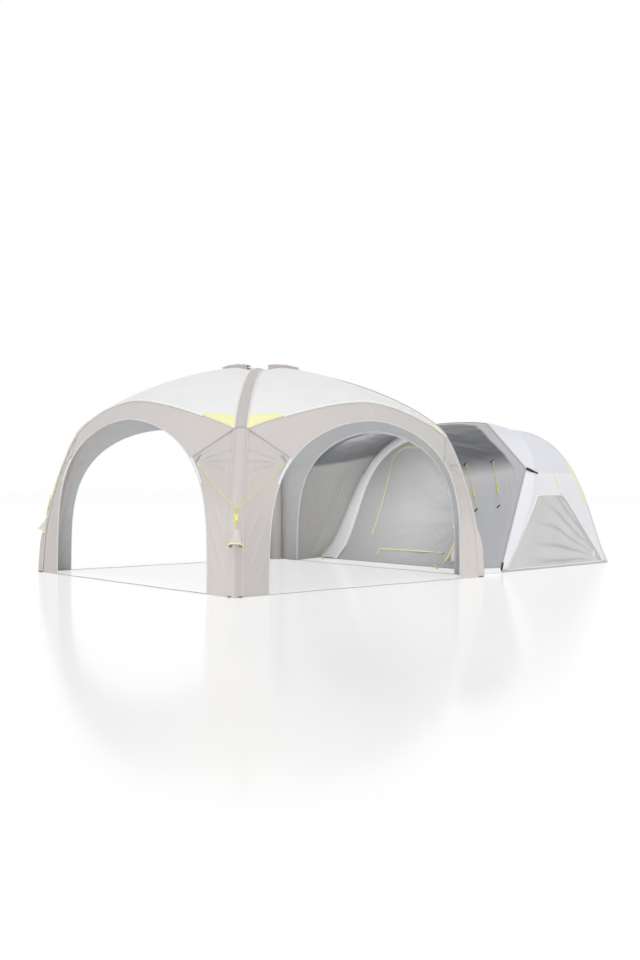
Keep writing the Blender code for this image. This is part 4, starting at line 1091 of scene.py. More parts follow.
def make_sleeves():
    """Air beams and their sleeves: one right across, and a branch on each side of it."""
    def leg_path(corner, first):
        path = [on_diagonal(corner, *beam_centre(first + (FOOT_STEP - first) * t)) for t in steps(90)]
        return path + [on_diagonal(corner, FOOT_RADIUS, 0.001)]

    clear = (SLEEVE_RADIUS + 2 * GAP) / BEAM_PATH[1].x
    paths = {"diagonal": leg_path(CORNERS["front_right"], 0)[:0:-1] + leg_path(CORNERS["rear_left"], 0),
             "left": leg_path(CORNERS["front_left"], clear), "right": leg_path(CORNERS["rear_right"], clear)}
    for name, path in paths.items():
        settle(tube("sleeve_" + name, SLEEVE, path, SLEEVE_RADIUS - 0.001, 24),
               ["beam_sleeve_" + name])
        inner = tube("bladder_" + name, BLADDER, path[1:-1], SLEEVE_RADIUS - SLEEVE_WALL - 2 * GAP, 20)
        settle(inner, ["air_beam_" + name])


def make_roof(side_name, side):
    turn = side_matrix(side)

    def place(u, v):
        step = max(0.19, CORNER_STEP * v)
        share = 2 * u - 1
        point = gore_local(step, share)
        lean = 0.25 + 0.35 * v
        direction = Vector((lean, 0, 1 - lean / 2)).lerp(Vector((1, 0, 0.6)), v ** 4).normalized()
        fold = 0.004 * ruffle(point, 0.6, side) * (1 - share ** 2) * v
        fold += 0.006 * sin(22 * abs(share)) * bump_step(v, 0.6, 0.95) * bump_step(abs(share), 0.45, 0.85)
        fold *= 1 - bump_step(v, 0.93, 1.0)
        return turn @ (point + direction * fold), turn @ direction

    skin = cloth("roof_cloth_" + side_name, ROOF, 110, 76, place)
    outline = [(VENT_INNER, -VENT_INNER_HALF), (VENT_OUTER, -VENT_OUTER_HALF),
               (VENT_OUTER, VENT_OUTER_HALF), (VENT_INNER, VENT_INNER_HALF)]
    carve(skin, outline, turn @ Vector((1, 0, 0)), turn @ Vector((0, 1, 0)), UP * SEAM_HEIGHT, UP * 2.6)
    declare(settle(skin, ["roof_gore_" + side_name]))

    def place_gauze(u, v):
        depth = VENT_INNER - 0.012 + (VENT_OUTER - VENT_INNER + 0.024) * v
        half = (VENT_INNER_HALF + (VENT_OUTER_HALF - VENT_INNER_HALF) * v + 0.01) * (2 * u - 1)
        height = roof_height(depth, abs(half)) - 0.004
        return turn @ Vector((depth, half, height)), UP

    declare(settle(cloth("vent_gauze_" + side_name, GAUZE_AND_SHADE, 16, 8, place_gauze)))


def make_vent(side_name, side):
    turn = side_matrix(side)
    body = "vent_hood_body_" + side_name
    inner, outer = VENT_INNER - HOOD_MARGIN, VENT_OUTER + HOOD_MARGIN
    inner_half = VENT_INNER_HALF - HOOD_HALF_MARGIN / 2
    outer_half = VENT_OUTER_HALF + HOOD_HALF_MARGIN
    hinge_height = roof_height(inner, 0) + FABRIC / 2 + HOOD_THICKNESS / 2
    rim_height = roof_height(outer, outer_half) + FABRIC / 2 + HOOD_LIFT
    crest = HOOD_LIFT * 0.35

    def place(u, v):
        depth = inner + (outer - inner) * v
        half = inner_half + (outer_half - inner_half) * v
        share = 2 * u - 1
        height = hinge_height + (rim_height - hinge_height) * v + crest * (1 - share ** 2) * v
        height += 0.002 * sin(share * 9) * v * (1 - share ** 2)
        return turn @ Vector((depth, half * share, height)), UP

    declare(settle(cloth("hood_cloth_" + side_name, ROOF, 36, 18, place, 0.002),
                   ["vent_hood_" + side_name], body))

    # Screen across the hood's open edge: a vent mesh standing where shade falls under the hood, so partly
    # painted shade.
    def screen(u, v):
        edge = place(0.02 + 0.96 * u, 0.985)[0]
        low = turn.inverted() @ edge
        low.z = roof_height(low.x, low.y) + 0.001
        return edge.lerp(turn @ low, v) - UP * 0.002 * (1 - v), turn @ Vector((1, 0, 0))

    veil = cloth("hood_screen_" + side_name, GAUZE_AND_SHADE, 30, 6, screen)
    screen(0.5, 1)[0] + ORIGIN
    screen(0.5, 0)[0] + ORIGIN
    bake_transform(veil)
    rim = [place(0, t)[0] for t in steps(14)] + [place(t, 1)[0] for t in steps(30)[1:]]
    rim += [place(1, 1 - t)[0] for t in steps(14)[1:]]
    settle(tube("hood_binding_" + side_name, WHITE_TAPE, rim, 0.0038, 8), body=body)
    depth = (VENT_INNER + 2 * VENT_OUTER) / 3
    way = (depth - inner) / (outer - inner)
    top = hinge_height + (rim_height - hinge_height) * way + crest * way
    prop = [(turn @ Vector((depth, 0, top - PROP_LENGTH * t)), turn @ Vector((1, 0, 0)),
             turn @ Vector((0, 1, 0)), 0.005 * wide, 0.005 * wide, 2.2)
            for t, wide in ((0, 1.7), (0.06, 1.7), (0.10, 1.0), (0.9, 1.0), (0.94, 1.9), (1.0, 1.9))]
    settle(loft("hood_prop_" + side_name, WHITE_PLASTIC, [prop]), body=body)


def make_valance(side_name, side):
    turn = side_matrix(side)

    def place(u, v):
        share = 2 * u - 1
        point, direction = valance_local(share, v)
        half = abs(share)
        fold = pull_folds(half, v, 1.0, 1.0, 0.16, 11, 0.008) * bump_step(v, 0.0, 0.2)
        fold += 0.0035 * ruffle(point, 0.35, side + 3) * sin(pi * v)
        # Tone 0.33 is the valance's own colour; creases are darkened on both skins as painted shade.
        dark = 0.33 + min(0.4, 30 * max(0.0, -fold - 0.002))
        return turn @ (point + direction * fold), turn @ direction, dark, dark

    declare(settle(cloth("valance_cloth_" + side_name, TAUPE, 130, 26, place),
                   ["arch_valance_" + side_name]))
    piping = []
    for t in steps(90):
        point, direction = valance_local(0.74 * (2 * t - 1), 0.0)
        piping.append((turn @ (point + direction * (FABRIC / 2 + 0.001) + UP * 0.003), turn @ direction))
    tape("roof_piping_" + side_name, WHITE_TAPE, piping, 0.027, rows=6, crown=0.009)
    seam = [turned(turn, *valance_local(0.0, t), 0.0015) for t in steps(20)]
    tape("valance_seam_" + side_name, TAUPE, seam, 0.012, rows=1)
    arch = [shelter_arch(even_share(t)) for t in steps(140)]
    edge = [turn @ Vector((HALF - 0.001, point.y, max(point.z, 0.006))) for point in arch]
    settle(tube("arch_binding_" + side_name, PALE_TAPE, edge, 0.0065, 10))


def make_ground_strap(side_name, side):
    turn = side_matrix(side)
    line = HALF - FABRIC / 2 - GAP - STRAP_WIDTH / 2
    half_length = ARCH_WIDTH / 2 + STRAP_REACH
    spots = []
    for t in steps(60):
        y = half_length * (2 * t - 1)
        place = Vector((line + 0.004 * sin(y * 2.1), y, 0.0022 + 0.0015 * (1 + sin(y * 7))))
        spots.append((turn @ place, UP))
    tape("strap_" + side_name, WEBBING, spots, STRAP_WIDTH, ["ground_strap_" + side_name])


def make_valve():
    corner = CORNERS["front_right"]
    outward, across = diagonal_frame(corner)
    step = bisect(CORNER_STEP, FOOT_STEP, lambda low: beam_centre(low).y > VALVE_HEIGHT, 40)
    centre, inward = beam_centre(step), -beam_normal(step)
    axis = outward * inward.x + UP * inward.y
    side = axis.cross(across)
    place = outward * centre.x + UP * centre.y + axis * (SLEEVE_RADIUS + VALVE_CLEARANCE)
    profile = ((0.0, 1.0), (0.10, 1.0), (0.16, 0.94), (0.30, 0.92), (0.34, 0.80), (0.40, 0.80), (0.44, 0.9),
               (0.86, 0.88), (0.96, 0.82), (1.0, 0.72))
    cap = [(place + axis * VALVE_LENGTH * t, across, side, VALVE_RADIUS * s, VALVE_RADIUS * s, 2.0)
           for t, s in profile]
    settle(loft("valve_cap", BLACK_PLASTIC, [cap], 40), ["inflation_valve"])


# Tent pieces

def window_outline():
    outline = []
    for along, rise in WINDOW_SHARES:
        height = WINDOW_BOTTOM + (WINDOW_TOP - WINDOW_BOTTOM) * rise
        outline.append((front_x(height) + (rear_x(height) - front_x(height)) * along, height))
    return outline


def skin_at(x, z, side, lift=0.0):
    """Point of the fly at a given place along the tent and height."""
    low, high = 0.0, 0.5
    for _ in range(24):
        share = (low + high) / 2
        front, rear = front_arch(share), rear_arch(share)
        start, end = front_x(front.z), rear_x(rear.z)
        along = (x - start) / (end - start)
        if front.z + (rear.z - front.z) * along < z:
            low = share
        else:
            high = share
    point, normal = tent_skin(share, along, lift)
    if side > 0:
        point.y, normal.y = -point.y, -normal.y
    return point, normal


def window_sides(height):
    """Left and right edge of a window, as places along the tent, at a height."""
    outline = window_outline()
    edges = []
    for line in ((0, 7, 6), (1, 2, 3, 4, 5)):
        corners = [outline[k] for k in line]
        x = corners[-1][0]
        for (x0, z0), (x1, z1) in zip(corners, corners[1:]):
            if height <= z1:
                x = x0 + (x1 - x0) * (height - z0) / (z1 - z0)
                break
        edges.append(x)
    return edges


def make_window(label, side):
    def spot(u, v, grow, lift):
        height = WINDOW_BOTTOM - grow + (WINDOW_TOP - WINDOW_BOTTOM + 2 * grow) * v
        left, right = window_sides(height)
        return skin_at(left - grow + (right - left + 2 * grow) * u, height, side, lift)

    def place(u, v):
        point, normal = spot(u, v, 0.014, -0.005)
        inside = min(1.0, 8 * u, 8 * (1 - u), 8 * v, 8 * (1 - v))
        corner_x, corner_z = TENT_REAR_X - 0.12, 0.05
        dx, dz = corner_x - point.x, point.z - corner_z
        away = sqrt(dx * dx + dz * dz)
        turn = atan2(dz, dx)
        rays = sin(turn * 27 + 2.0 * ruffle(point, 0.5, 2)) ** 3 * bump_step(away, 0.1, 0.5)
        rays *= 1 - bump_step(turn, 0.95, 1.3)
        fold = 0.009 * rays * (1 - bump_step(away, 1.2, 1.9)) + 0.005 * ruffle(point, 0.22, 4)
        dx = point.x - front_x(WINDOW_TOP)
        second = sin(atan2(WINDOW_TOP + 0.05 - point.z, max(dx, 0.01)) * 19) ** 3
        fold += 0.004 * second * exp(-sqrt(dx * dx + (WINDOW_TOP - point.z) ** 2) / 0.5)
        # Painted shade: dark stripes along the creases that fan from the lower rear corner; the tone also
        # varies at random and darkens towards the rear edge.
        stripe = max(0.0, sin(turn * 40 + 2.0 * ruffle(point, 0.5, 2))) ** 3 * bump_step(away, 0.15, 0.6)
        stripe *= (1 - bump_step(away, 1.0, 1.9)) * (1 - bump_step(turn, 0.7, 1.1))
        dark = 0.14 + 0.55 * stripe + 0.12 * ruffle(point, 0.3, 9) + 0.3 * bump_step(u, 0.93, 0.97)
        return point + normal * fold * inside, normal, min(1.0, max(0.0, dark)), 0.4

    declare(settle(cloth("window_" + label, FILM, 84, 56, place), ["side_window_" + label]))
    band = [spot(1.0, t, 0.0, 0.003) for t in steps(14)]
    band = [(point - Vector((0.03, 0, 0)), normal) for point, normal in band]
    tape("window_band_" + label, PANEL, band, 0.06)
    rim = [(t, 0.0) for t in steps(30)] + [(1.0, t) for t in steps(30)[1:]]
    rim += [(1 - u, 1 - v) for u, v in rim[1:-1]]
    rim = [spot(u, v, 0.0, 0.002)[0] for u, v in rim]
    settle(tube("window_piping_" + label, BAND, rim, 0.0075, 8, cyclic=True))
    length = TENT_REAR_X - TENT_FRONT_X - 0.10
    foot = [skin_at(TENT_FRONT_X + 0.06 + length * t, 0.018, side, 0.004) for t in steps(40)]
    tape("foot_tape_" + label, PANEL, foot, 0.034)
    edge = [skin_at(rear_x(0.8 + 0.05 * k) - 0.03, 0.8 + 0.05 * k, side, 0.006) for k in range(13)]
    tape("fly_edge_tape_" + label, YELLOW, edge, 0.03)
    guy = [skin_at(3.72 + 0.01 * k, 1.18 - 0.035 * k, side, 0.008) for k in range(6)]
    tape("fly_guy_tape_" + label, YELLOW, guy, 0.022)
    tag = [skin_at(4.58, 0.10 + 0.02 * k, side, 0.008) for k in range(5)]
    tape("window_tag_" + label, WHITE_TAPE, tag, 0.035)


def make_fly():
    def place(u, v):
        share = even_share(u)
        point, normal = tent_skin(share, v)
        fold = 0.004 * ruffle(point, 0.45, 1) * bump_step(v, 0, 0.15) * (1 - bump_step(v, 0.9, 1.0))
        fold -= 0.010 * sin(pi * v) * sin(arch_angle(share)) * bump_step(point.z, 1.3, 1.8)
        return point + normal * fold, normal

    fly = cloth("fly_cloth", FLY, 150, 60, place)
    reach = Vector((0, 2 * FRONT_HALF_WIDTH, 0))
    for side in (-1, 1):
        carve(fly, window_outline(), Vector((1, 0, 0)), UP, Vector((0, 0, 0)), reach * side)
    declare(settle(fly, ["tent_fly"]))

    def place_brow(u, v):
        share = even_share(u)
        start = hem_way(share)
        point, normal = tunnel_point(share, start + (1.06 - start) * v)
        return point + normal * 0.004, normal

    declare(settle(cloth("fly_brow", FLY, 150, 16, place_brow)))
    seam = [tent_skin(even_share(t), 1.0, 0.004) for t in steps(80)]
    tape("fly_rear_tape", PALE_TAPE, seam, 0.03)


def end_grid(curve, lean, side, bulge, extra):
    def place(u, v):
        share = even_share(0.012 + 0.976 * u)
        rim = curve(share) - arch_normal(share, curve) * WALL_INSET
        foot = WALL_FOOT_GAP + CLOTH
        height = foot + (rim.z - foot) * v
        out = bulge * 4 * v * (1 - v) * (1 - (2 * u - 1) ** 2)
        point = Vector((lean(height) + side * out, rim.y, height))
        slope = (lean(height + 0.01) - lean(max(height - 0.01, 0))) / (height + 0.01 - max(height - 0.01, 0))
        normal = Vector((side, 0, -side * slope)).normalized()
        return point + normal * extra(point) * bump_step(height, 0.0, 0.1), normal
    return place


def door_outline():
    corner = []
    for i in range(9):
        angle = pi / 2 * i / 8
        corner.append((DOOR_LEFT_HIGH - DOOR_CORNER + DOOR_CORNER * cos(angle),
                       DOOR_TOP - DOOR_CORNER + DOOR_CORNER * sin(angle)))
    return [(DOOR_RIGHT, DOOR_BOTTOM), (DOOR_LEFT_LOW, DOOR_BOTTOM)] + corner + [(DOOR_RIGHT, DOOR_TOP)]


def shrink(outline, amount):
    centre = sum((Vector(p) for p in outline), Vector((0, 0))) / len(outline)
    moved = []
    count = len(outline)
    for i in range(count):
        before, here, after = (Vector(outline[(i + k) % count]) for k in (-1, 0, 1))
        first, second = (here - before).normalized(), (after - here).normalized()
        inward = Vector((-(first.y + second.y), first.x + second.x)).normalized()
        if inward.dot(centre - here) < 0:
            inward = -inward
        moved.append(here + inward * amount / sqrt(max((1 + first.dot(second)) / 2, 0.1)))
    return [tuple(p) for p in moved]


def wall_point(y, z, proud):
    """Place on the leaning front wall, lifted off it on the connector's side."""
    slope = (front_x(z + 0.01) - front_x(max(z - 0.01, 0))) / (z + 0.01 - max(z - 0.01, 0))
    normal = Vector((-1, 0, slope)).normalized()
    return Vector((front_x(z), y, z)) + normal * proud, normal


def wall_tape(name, material, path, width, proud, body=BODY, crown=0.0):
    tape(name, material, [wall_point(y, z, proud) for y, z in path], width, (), body, crown=crown)


def along_path(points, count):
    points = [Vector(p) for p in points]
    lengths = [0.0]
    for a, b in zip(points, points[1:]):
        lengths.append(lengths[-1] + (b - a).length)
    path = []
    for k in range(count + 1):
        goal = lengths[-1] * k / count
        i = min(sum(1 for value in lengths[1:-1] if value < goal), len(points) - 2)
        share = (goal - lengths[i]) / max(lengths[i + 1] - lengths[i], 1e-9)
        path.append(tuple(points[i].lerp(points[i + 1], share)))
    return path


def wall_folds(point):
    """Creases of the closed door, fanning from its upper right, and soft ruffles all over."""
    dy, dz = point.y + 0.75, point.z - 0.62
    away = sqrt(dy * dy + dz * dz)
    rays = sin(atan2(dz, dy) * 13 + 1.5 * ruffle(point, 0.6, 5)) ** 3
    fold = 0.020 * rays * bump_step(away, 0.15, 0.5) * (1 - bump_step(away, 1.0, 1.7))
    return fold + 0.008 * ruffle(point, 0.45, 9)


def make_front():
    place = end_grid(front_arch, front_x, -1, 0.0, wall_folds)
    foot = Vector((front_x(DOOR_BOTTOM), 0, DOOR_BOTTOM))
    up = (Vector((front_x(DOOR_TOP), 0, DOOR_TOP)) - foot).normalized()
    outward = Vector((-up.z, 0, up.x))
    y_axis = Vector((0, 1, 0))
    near, far = foot - outward * DOOR_DEPTH, foot + outward * DOOR_DEPTH
    rise = [(y, (z - DOOR_BOTTOM) / up.z) for y, z in door_outline()]
    wall = carve(cloth("front_cloth", PANEL, 110, 60, place), rise, y_axis, up, near, far)
    declare(settle(wall, ["front_wall"]))
    door = carve(cloth("door_cloth", PANEL, 110, 60, place), shrink(rise, DOOR_GAP), y_axis, up, near, far,
                 'INTERSECT')
    door["flat_width"], door["flat_length"] = 1.62, 1.75
    declare(settle(door, ["tent_door"], "door_body"))

    outline = door_outline()
    left_edge = [(y, z) for y, z in outline[1:-1]] + [(0.42, DOOR_TOP)]
    bright = along_path([(DOOR_LEFT_LOW + 0.022, 0.34)] + left_edge[1:], 60)
    bright = [(y + 0.009 * min(1, max(0, (1.7 - z) * 9)), z + 0.004) for y, z in bright]
    wall_tape("zip_tape_wall", YELLOW, bright, 0.016, 0.016)
    inner = along_path(shrink([tuple(p) for p in outline], 0.014)[1:-1] + [(0.42, DOOR_TOP - 0.014)], 60)
    wall_tape("zip_tape_door", PALE_TAPE, inner, 0.012, 0.013, "door_body")
    bottom = along_path([(0.60, DOOR_BOTTOM + 0.022), (-0.51, DOOR_BOTTOM + 0.028)], 40)
    wall_tape("zip_bottom", YELLOW, bottom, 0.020, 0.014, "door_body")
    wall_tape("zip_bottom_end", YELLOW, along_path([(0.60, 0.165), (0.60, 0.09)], 6), 0.018,
              0.016, "door_body")
    slant = along_path([(-0.645, 0.06), (-0.625, 0.36)], 12)
    wall_tape("side_pull", YELLOW, slant, 0.036, 0.018, crown=0.004)
    ends = []
    for height in (SLIDER_HEIGHT, SLIDER_HEIGHT + SLIDER_TRAVEL):
        part = (height - DOOR_BOTTOM) / (DOOR_TOP - DOOR_CORNER - DOOR_BOTTOM)
        y = DOOR_LEFT_LOW + (DOOR_LEFT_HIGH - DOOR_LEFT_LOW) * part
        ends.append(Vector((front_x(height), y, height)))
    climb = (ends[1] - ends[0]).normalized()
    outward = Vector((-climb.z, 0, climb.x)).normalized()
    start = ends[0] + outward * (FABRIC / 2 + SLIDER_DEPTH / 2 + SLIDER_PROUD)
    across = (y_axis - climb * climb.y).normalized()
    out = across.cross(climb)
    body = [(start + climb * SLIDER_LENGTH / 2 * t, across, out,
             SLIDER_WIDTH / 2 * s, SLIDER_DEPTH / 2 * s, 3.0)
            for t, s in ((-1, 0.7), (-0.9, 0.95), (-0.5, 1), (0, 0.8), (0.5, 0.95), (0.9, 0.7), (1, 0.4))]
    settle(loft("slider_body", YELLOW_PLASTIC, [body]), ["zip_slider"], "zip_slider_body")


def make_wall_patches():
    """White gores beside the foot of the door, and the yellow peg loops at the wall's foot."""
    patches = {"door_gore": ((-0.49, 0.69), (-0.48, 0.50), (-0.565, 0.56), (-0.59, 0.40)),
               "wall_gore": ((-0.625, 0.33), (-0.625, 0.20), (-0.80, 0.10), (-0.74, 0.06))}
    for name, (first, second, third, fourth) in patches.items():
        def place(u, v):
            y, z = Vector(first).lerp(Vector(second), u).lerp(Vector(third).lerp(Vector(fourth), u), v)
            return wall_point(y, z, 0.012)

        body = "door_body" if name == "door_gore" else BODY
        settle(cloth(name, BAND, 6, 8, place), body=body)
    for name, y in (("peg_strap_right", -0.58), ("peg_strap_left", 1.50)):
        spots = [(Vector((TENT_FRONT_X - 0.02 - 0.20 * t, y - 0.22 * t, 0.008 + 0.03 * (1 - t) ** 2)), UP)
                 for t in (0, 0.1, 0.25, 0.4, 0.55, 0.7, 0.85, 1)]
        tape(name, YELLOW, spots, 0.03)


def make_white_band():
    """White sleeve of the front air beam, which stands proud of the wall all round the arch."""
    def place(u, v):
        share = even_share(u)
        normal = arch_normal(share, front_arch)
        outer = front_arch(share) - normal * 0.012
        width = 0.13 + 0.19 * (1 - min(1.0, outer.z / FRONT_HEIGHT)) ** 2
        spot = outer - normal * width * v
        spot.z = max(spot.z, 0.004)
        bulge = 0.028 * sqrt(max(0.0, 1 - (2 * v - 1) ** 2)) + 0.002
        slope = FRONT_LEAN / FRONT_HEIGHT
        spot.x = front_x(spot.z)
        lift = Vector((-1, 0, slope)).normalized()
        return spot + lift * bulge, lift

    declare(settle(cloth("beam_band", BAND, 150, 10, place)))
    tape("beam_band_seam", PALE_TAPE, [place(t, 1.0) for t in steps(140)], 0.012, rows=1)


def make_rear():
    place = end_grid(rear_arch, rear_x, 1, REAR_BULGE, lambda point: 0.006 * ruffle(point, 0.4, 11))
    declare(settle(cloth("rear_cloth", FLY, 100, 50, place), ["rear_wall"]))


def make_tent_beam(label, start, lean, step):
    reach = TENT_BEAM_RADIUS + FABRIC / 2 + BEAM_CLEARANCE
    path = []
    for t in steps(80):
        share = even_share(0.006 + 0.988 * t)
        low, high = 0.0, 0.5
        for _ in range(26):
            along = (low + high) / 2
            point = tent_skin(share, start + step * along, -reach)[0]
            slope = (lean(point.z + 0.01) - lean(max(point.z - 0.01, 0))) / 0.02
            if (point.x - lean(point.z)) * step < reach * sqrt(1 + slope ** 2):
                low = along
            else:
                high = along
        point.z = max(point.z, 0.012)
        path.append(point)
    settle(tube("tent_bladder_" + label, BLADDER, path, TENT_BEAM_RADIUS - 0.002, 20),
           ["tent_beam_" + label])


def make_groundsheet():
    def place(u, v):
        x = TENT_FRONT_X + SHEET_MARGIN + (TENT_REAR_X - TENT_FRONT_X - 2 * SHEET_MARGIN) * v
        half = FRONT_HALF_WIDTH + (REAR_HALF_WIDTH - FRONT_HALF_WIDTH) * v - FABRIC / 2 - 2 * GAP
        point = Vector((x, half * (2 * u - 1), 0.004))
        point.z += 0.0018 * (1 + ruffle(point, 0.3, 13))
        return point, UP
    declare(settle(cloth("groundsheet_cloth", SHEET, 60, 50, place), ["groundsheet"]))


def make_tunnel():
    def place(u, way):
        share = even_share(u)
        hem = hem_way(share)
        point, normal = tunnel_point(share, way)
        near = 1 - abs(2 * share - 1)
        roof = bump_step(near, 0.565, 0.60)
        middle = sin(pi * way)
        sway = ruffle(point, 0.5, 21)
        fold = 0.012 * middle * roof * sin(34 * (near + 0.25 * way) + 3 * sway) ** 3
        fold += 0.010 * middle * (1 - roof) * ruffle(point, 0.25, 17)
        fold += 0.006 * middle * (1 - roof) * sin(16 * way - 9 * near + 2 * sway) ** 3
        shoulder = bump_step(near, 0.15, 0.32) * (1 - bump_step(near, 0.50, 0.60))
        fold += 0.004 * shoulder * bump_step(way, 0.45, 0.62) * sin(95 * way + 14 * near + 2 * sway) ** 3
        fold *= 1 - bump_step(way, hem - 0.07, hem - 0.01)
        outside = 0.5 * bump_step(near, 0.34, 0.64)
        hem_band = bump_step(way / hem, 0.86, 0.89)
        return point + normal * fold, normal, outside + (0.25 - outside) * hem_band, 0.75 + 0.25 * roof

    declare(settle(cloth("tunnel_cloth", TUNNEL, 150, 90, place), ["connector_tunnel"]))
    for side, label in ((-1, "right"), (1, "left")):
        def skirt(u, v):
            point = tunnel_point(0.0 if side < 0 else 1.0, u)[0]
            point.z = 0.004 + 0.055 * v
            outward = Vector((0, side, 0))
            return point + outward * (0.006 + 0.02 * (1 - v)), outward
        declare(settle(cloth("tunnel_skirt_" + label, BAND, 40, 4, skirt)))
    hem, front = [], []
    for share in (even_share(t) for t in steps(140)):
        point, normal = tunnel_point(share, hem_way(share) - 0.006)
        hem.append((point + normal * 0.004, normal))
        point = tunnel_point(share, 0.0)[0]
        front.append((Vector((HALF + 0.004, point.y, max(point.z, 0.005))), Vector((-1, 0, 0))))
    tape("tunnel_hem", TUNNEL, hem, 0.02)
    tape("tunnel_zip_band", PALE_TAPE, front, 0.05)


def make_buckle(label, side):
    share = BUCKLE_SHARE if side < 0 else 1 - BUCKLE_SHARE
    hem, normal = tunnel_point(share, BUCKLE_WAY)
    along = tunnel_point(share, BUCKLE_WAY + BUCKLE_WAY_REACH)[0]
    along = (along - tunnel_point(share, BUCKLE_WAY - BUCKLE_WAY_REACH)[0]).normalized()
    around = tunnel_point(share + BUCKLE_SHARE_REACH, BUCKLE_WAY)[0]
    around -= tunnel_point(share - BUCKLE_SHARE_REACH, BUCKLE_WAY)[0]
    out = along.cross(around).normalized()
    if out.dot(normal) < 0:
        out.negate()
    across = out.cross(along)
    fall = across if across.z < 0 else -across
    along = along * cos(BUCKLE_TURN) + fall * sin(BUCKLE_TURN)
    across = out.cross(along)
    hem += out * (FABRIC / 2 + GAP + BUCKLE_DEPTH / 2 - BUCKLE_SINK)
    wide, deep, long = BUCKLE_WIDTH / 2, BUCKLE_DEPTH / 2, BUCKLE_LENGTH / 2
    def run(widths, power):
        return [(hem + along * long * t, across, out, wide * w, deep * d, power) for t, w, d in widths]

    female = run(((-1.0, 0.8, 0.6), (-0.96, 0.95, 0.9), (-0.5, 1.0, 1.0), (0.0, 0.86, 1.0),
                  (0.06, 0.80, 0.8)), 3.4)
    male = run(((0.05, 0.55, 0.55), (0.2, 0.6, 0.6), (0.3, 0.85, 0.75), (0.7, 0.9, 0.8), (0.95, 0.8, 0.6),
                (1.0, 0.6, 0.4)), 3.0)
    prongs = []
    for edge in (-1, 1):
        place = hem + across * edge * wide * 0.9
        prongs.append([(place + along * long * t, across, out, wide * w, deep * 0.55, 2.5)
                       for t, w in ((-0.15, 0.05), (-0.05, 0.12), (0.15, 0.14), (0.35, 0.10))])
    settle(loft("buckle_" + label, BLACK_PLASTIC, [female, male] + prongs),
           ["shoulder_buckle_" + label])
    tail = [(hem + along * (0.045 + 0.072 * t) + out * 0.004 * sin(pi * t), out) for t in steps(8)]
    tape("buckle_strap_" + label, DARK_WEBBING, tail, 0.024)
    foot, direction = tent_skin(0.0 if side < 0 else 1.0, 0.012, 0.012)
    tail = [(Vector((foot.x + 0.032 * t, foot.y, 0.02 + 0.104 * t)), direction) for t in steps(8)]
    tape("foot_strap_" + label, DARK_WEBBING, tail, 0.03)


# Stage

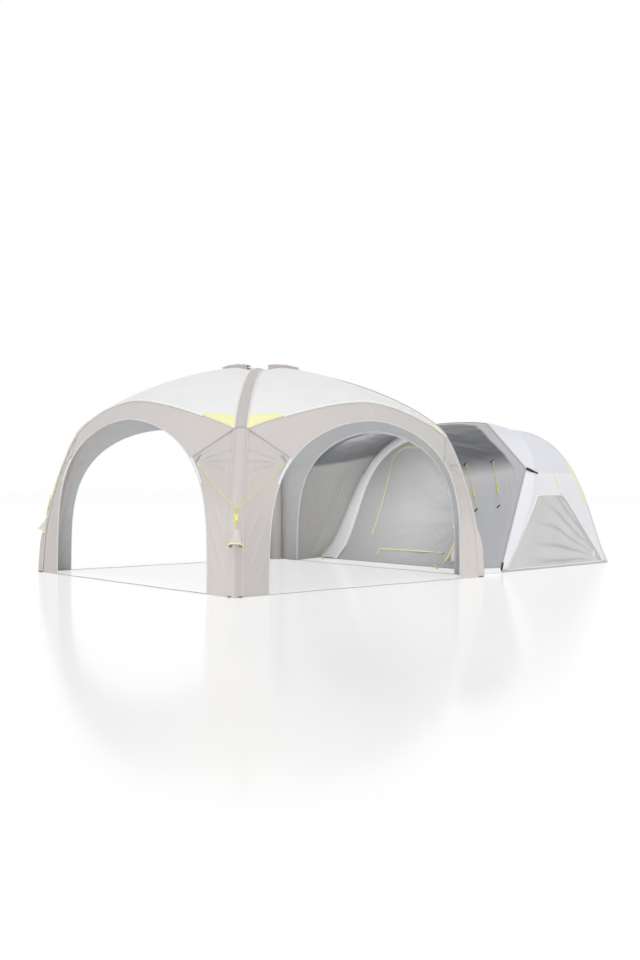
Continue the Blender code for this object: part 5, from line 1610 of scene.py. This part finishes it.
def make_stage():
    mesh = bpy.data.meshes.new("floor")
    size = 60.0
    corners = [(-size, -size, 0), (size, -size, 0), (size, size, 0), (-size, size, 0)]
    mesh.from_pydata(corners, [], [(0, 1, 2, 3)])
    material = bpy.data.materials.new("floor")
    material.use_nodes = True
    tree = material.node_tree
    tree.nodes.remove(tree.nodes["Principled BSDF"])
    seen = node(tree, "LightPath").outputs["Is Camera Ray"]
    colour = mix(tree, seen, (0.92, 0.92, 0.92, 1.0), (0.30, 0.30, 0.30, 1.0))
    matt = node(tree, "BsdfDiffuse", {"Color": colour})
    white = node(tree, "Emission", {"Strength": maths(tree, "MULTIPLY", seen, 0.76)})
    plain = node(tree, "AddShader", {0: matt.outputs[0], 1: white.outputs[0]})
    sheen = node(tree, "BsdfGlossy", {"Color": (1.0, 1.0, 1.0, 1.0), "Roughness": 0.12})
    both = node(tree, "MixShader", {0: 0.25, 1: plain.outputs[0], 2: sheen.outputs[0]})
    tree.links.new(both.outputs[0], tree.nodes["Material Output"].inputs[0])
    floor = link("floor", mesh, material)

    world = bpy.data.worlds.new("studio")
    bpy.context.scene.world = world
    world.use_nodes = True
    tree = world.node_tree
    rays = node(tree, "LightPath").outputs
    shown = maths(tree, "MAXIMUM", rays["Is Camera Ray"], rays["Is Glossy Ray"])
    shown = maths(tree, "MAXIMUM", shown, rays["Is Transmission Ray"])
    background = tree.nodes["Background"]
    background.inputs["Color"].default_value = (1.0, 1.0, 1.0, 1.0)
    level = maths(tree, "ADD", 0.45, maths(tree, "MULTIPLY", shown, 0.55))
    tree.links.new(level, background.inputs["Strength"])
    for name, energy, angle, source in (("key", 1.05, 35, (-0.15, -0.12, 1.0)),
                                        ("fill", 1.38, 25, (-0.683, -0.73, 0.035))):
        lamp = bpy.data.lights.new(name, 'SUN')
        lamp.energy = energy
        lamp.angle = radians(angle)
        sun = bpy.data.objects.new(name, lamp)
        sun.rotation_euler = Vector(source).to_track_quat('Z', 'Y').to_euler()
        bpy.context.scene.collection.objects.link(sun)
    for name, power, size, place, facing in (
            ("under_canopy", 18.0, (2.4, 2.4), Vector((0, 0, 0.02)), Vector((0, 0, 1))),
            ("to_tent", 9.5, (1.3, 0.3), Vector((1.93, 0, 1.45)), Vector((1, 0, -0.4)))):
        lamp = bpy.data.lights.new(name, 'AREA')
        lamp.shape = 'RECTANGLE'
        lamp.energy = power
        lamp.size, lamp.size_y = size
        panel = bpy.data.objects.new(name, lamp)
        panel.location = place + ORIGIN
        panel.rotation_euler = (-facing).to_track_quat('Z', 'Y').to_euler()
        panel.visible_camera = False
        panel.visible_glossy = False
        bpy.context.scene.collection.objects.link(panel)
    bpy.context.scene.view_settings.view_transform = 'Standard'


def build():
    make_camera()
    for name in GUYED_CORNERS:
        make_leg_cord(name, CORNERS[name])
    for name in LINE_TOPS:
        make_connector_cord(name)
    make_stage()
    make_sleeves()
    for name, side in SIDES.items():
        make_roof(name, side)
        make_vent(name, side)
        make_valance(name, side)
        make_ground_strap(name, side)
    for name, corner in CORNERS.items():
        make_leg(name, corner)
        make_leg_tails(name, corner)
        if name in GUYED_CORNERS:
            make_pocket(name, corner)
        make_gusset(name, corner)
        make_sleeve_strip(name, corner)
    make_valve()
    make_fly()
    make_window("right", -1)
    make_window("left", 1)
    make_front()
    make_wall_patches()
    make_white_band()
    make_rear()
    make_tent_beam("front", 0, front_x, 1)
    make_tent_beam("rear", 1, rear_x, -1)
    make_groundsheet()
    make_tunnel()
    make_buckle("right", -1)
    make_buckle("left", 1)


build()
for piece in bpy.data.objects:
    for label in ("flat_width", "flat_length"):
        if label in piece:
            del piece[label]
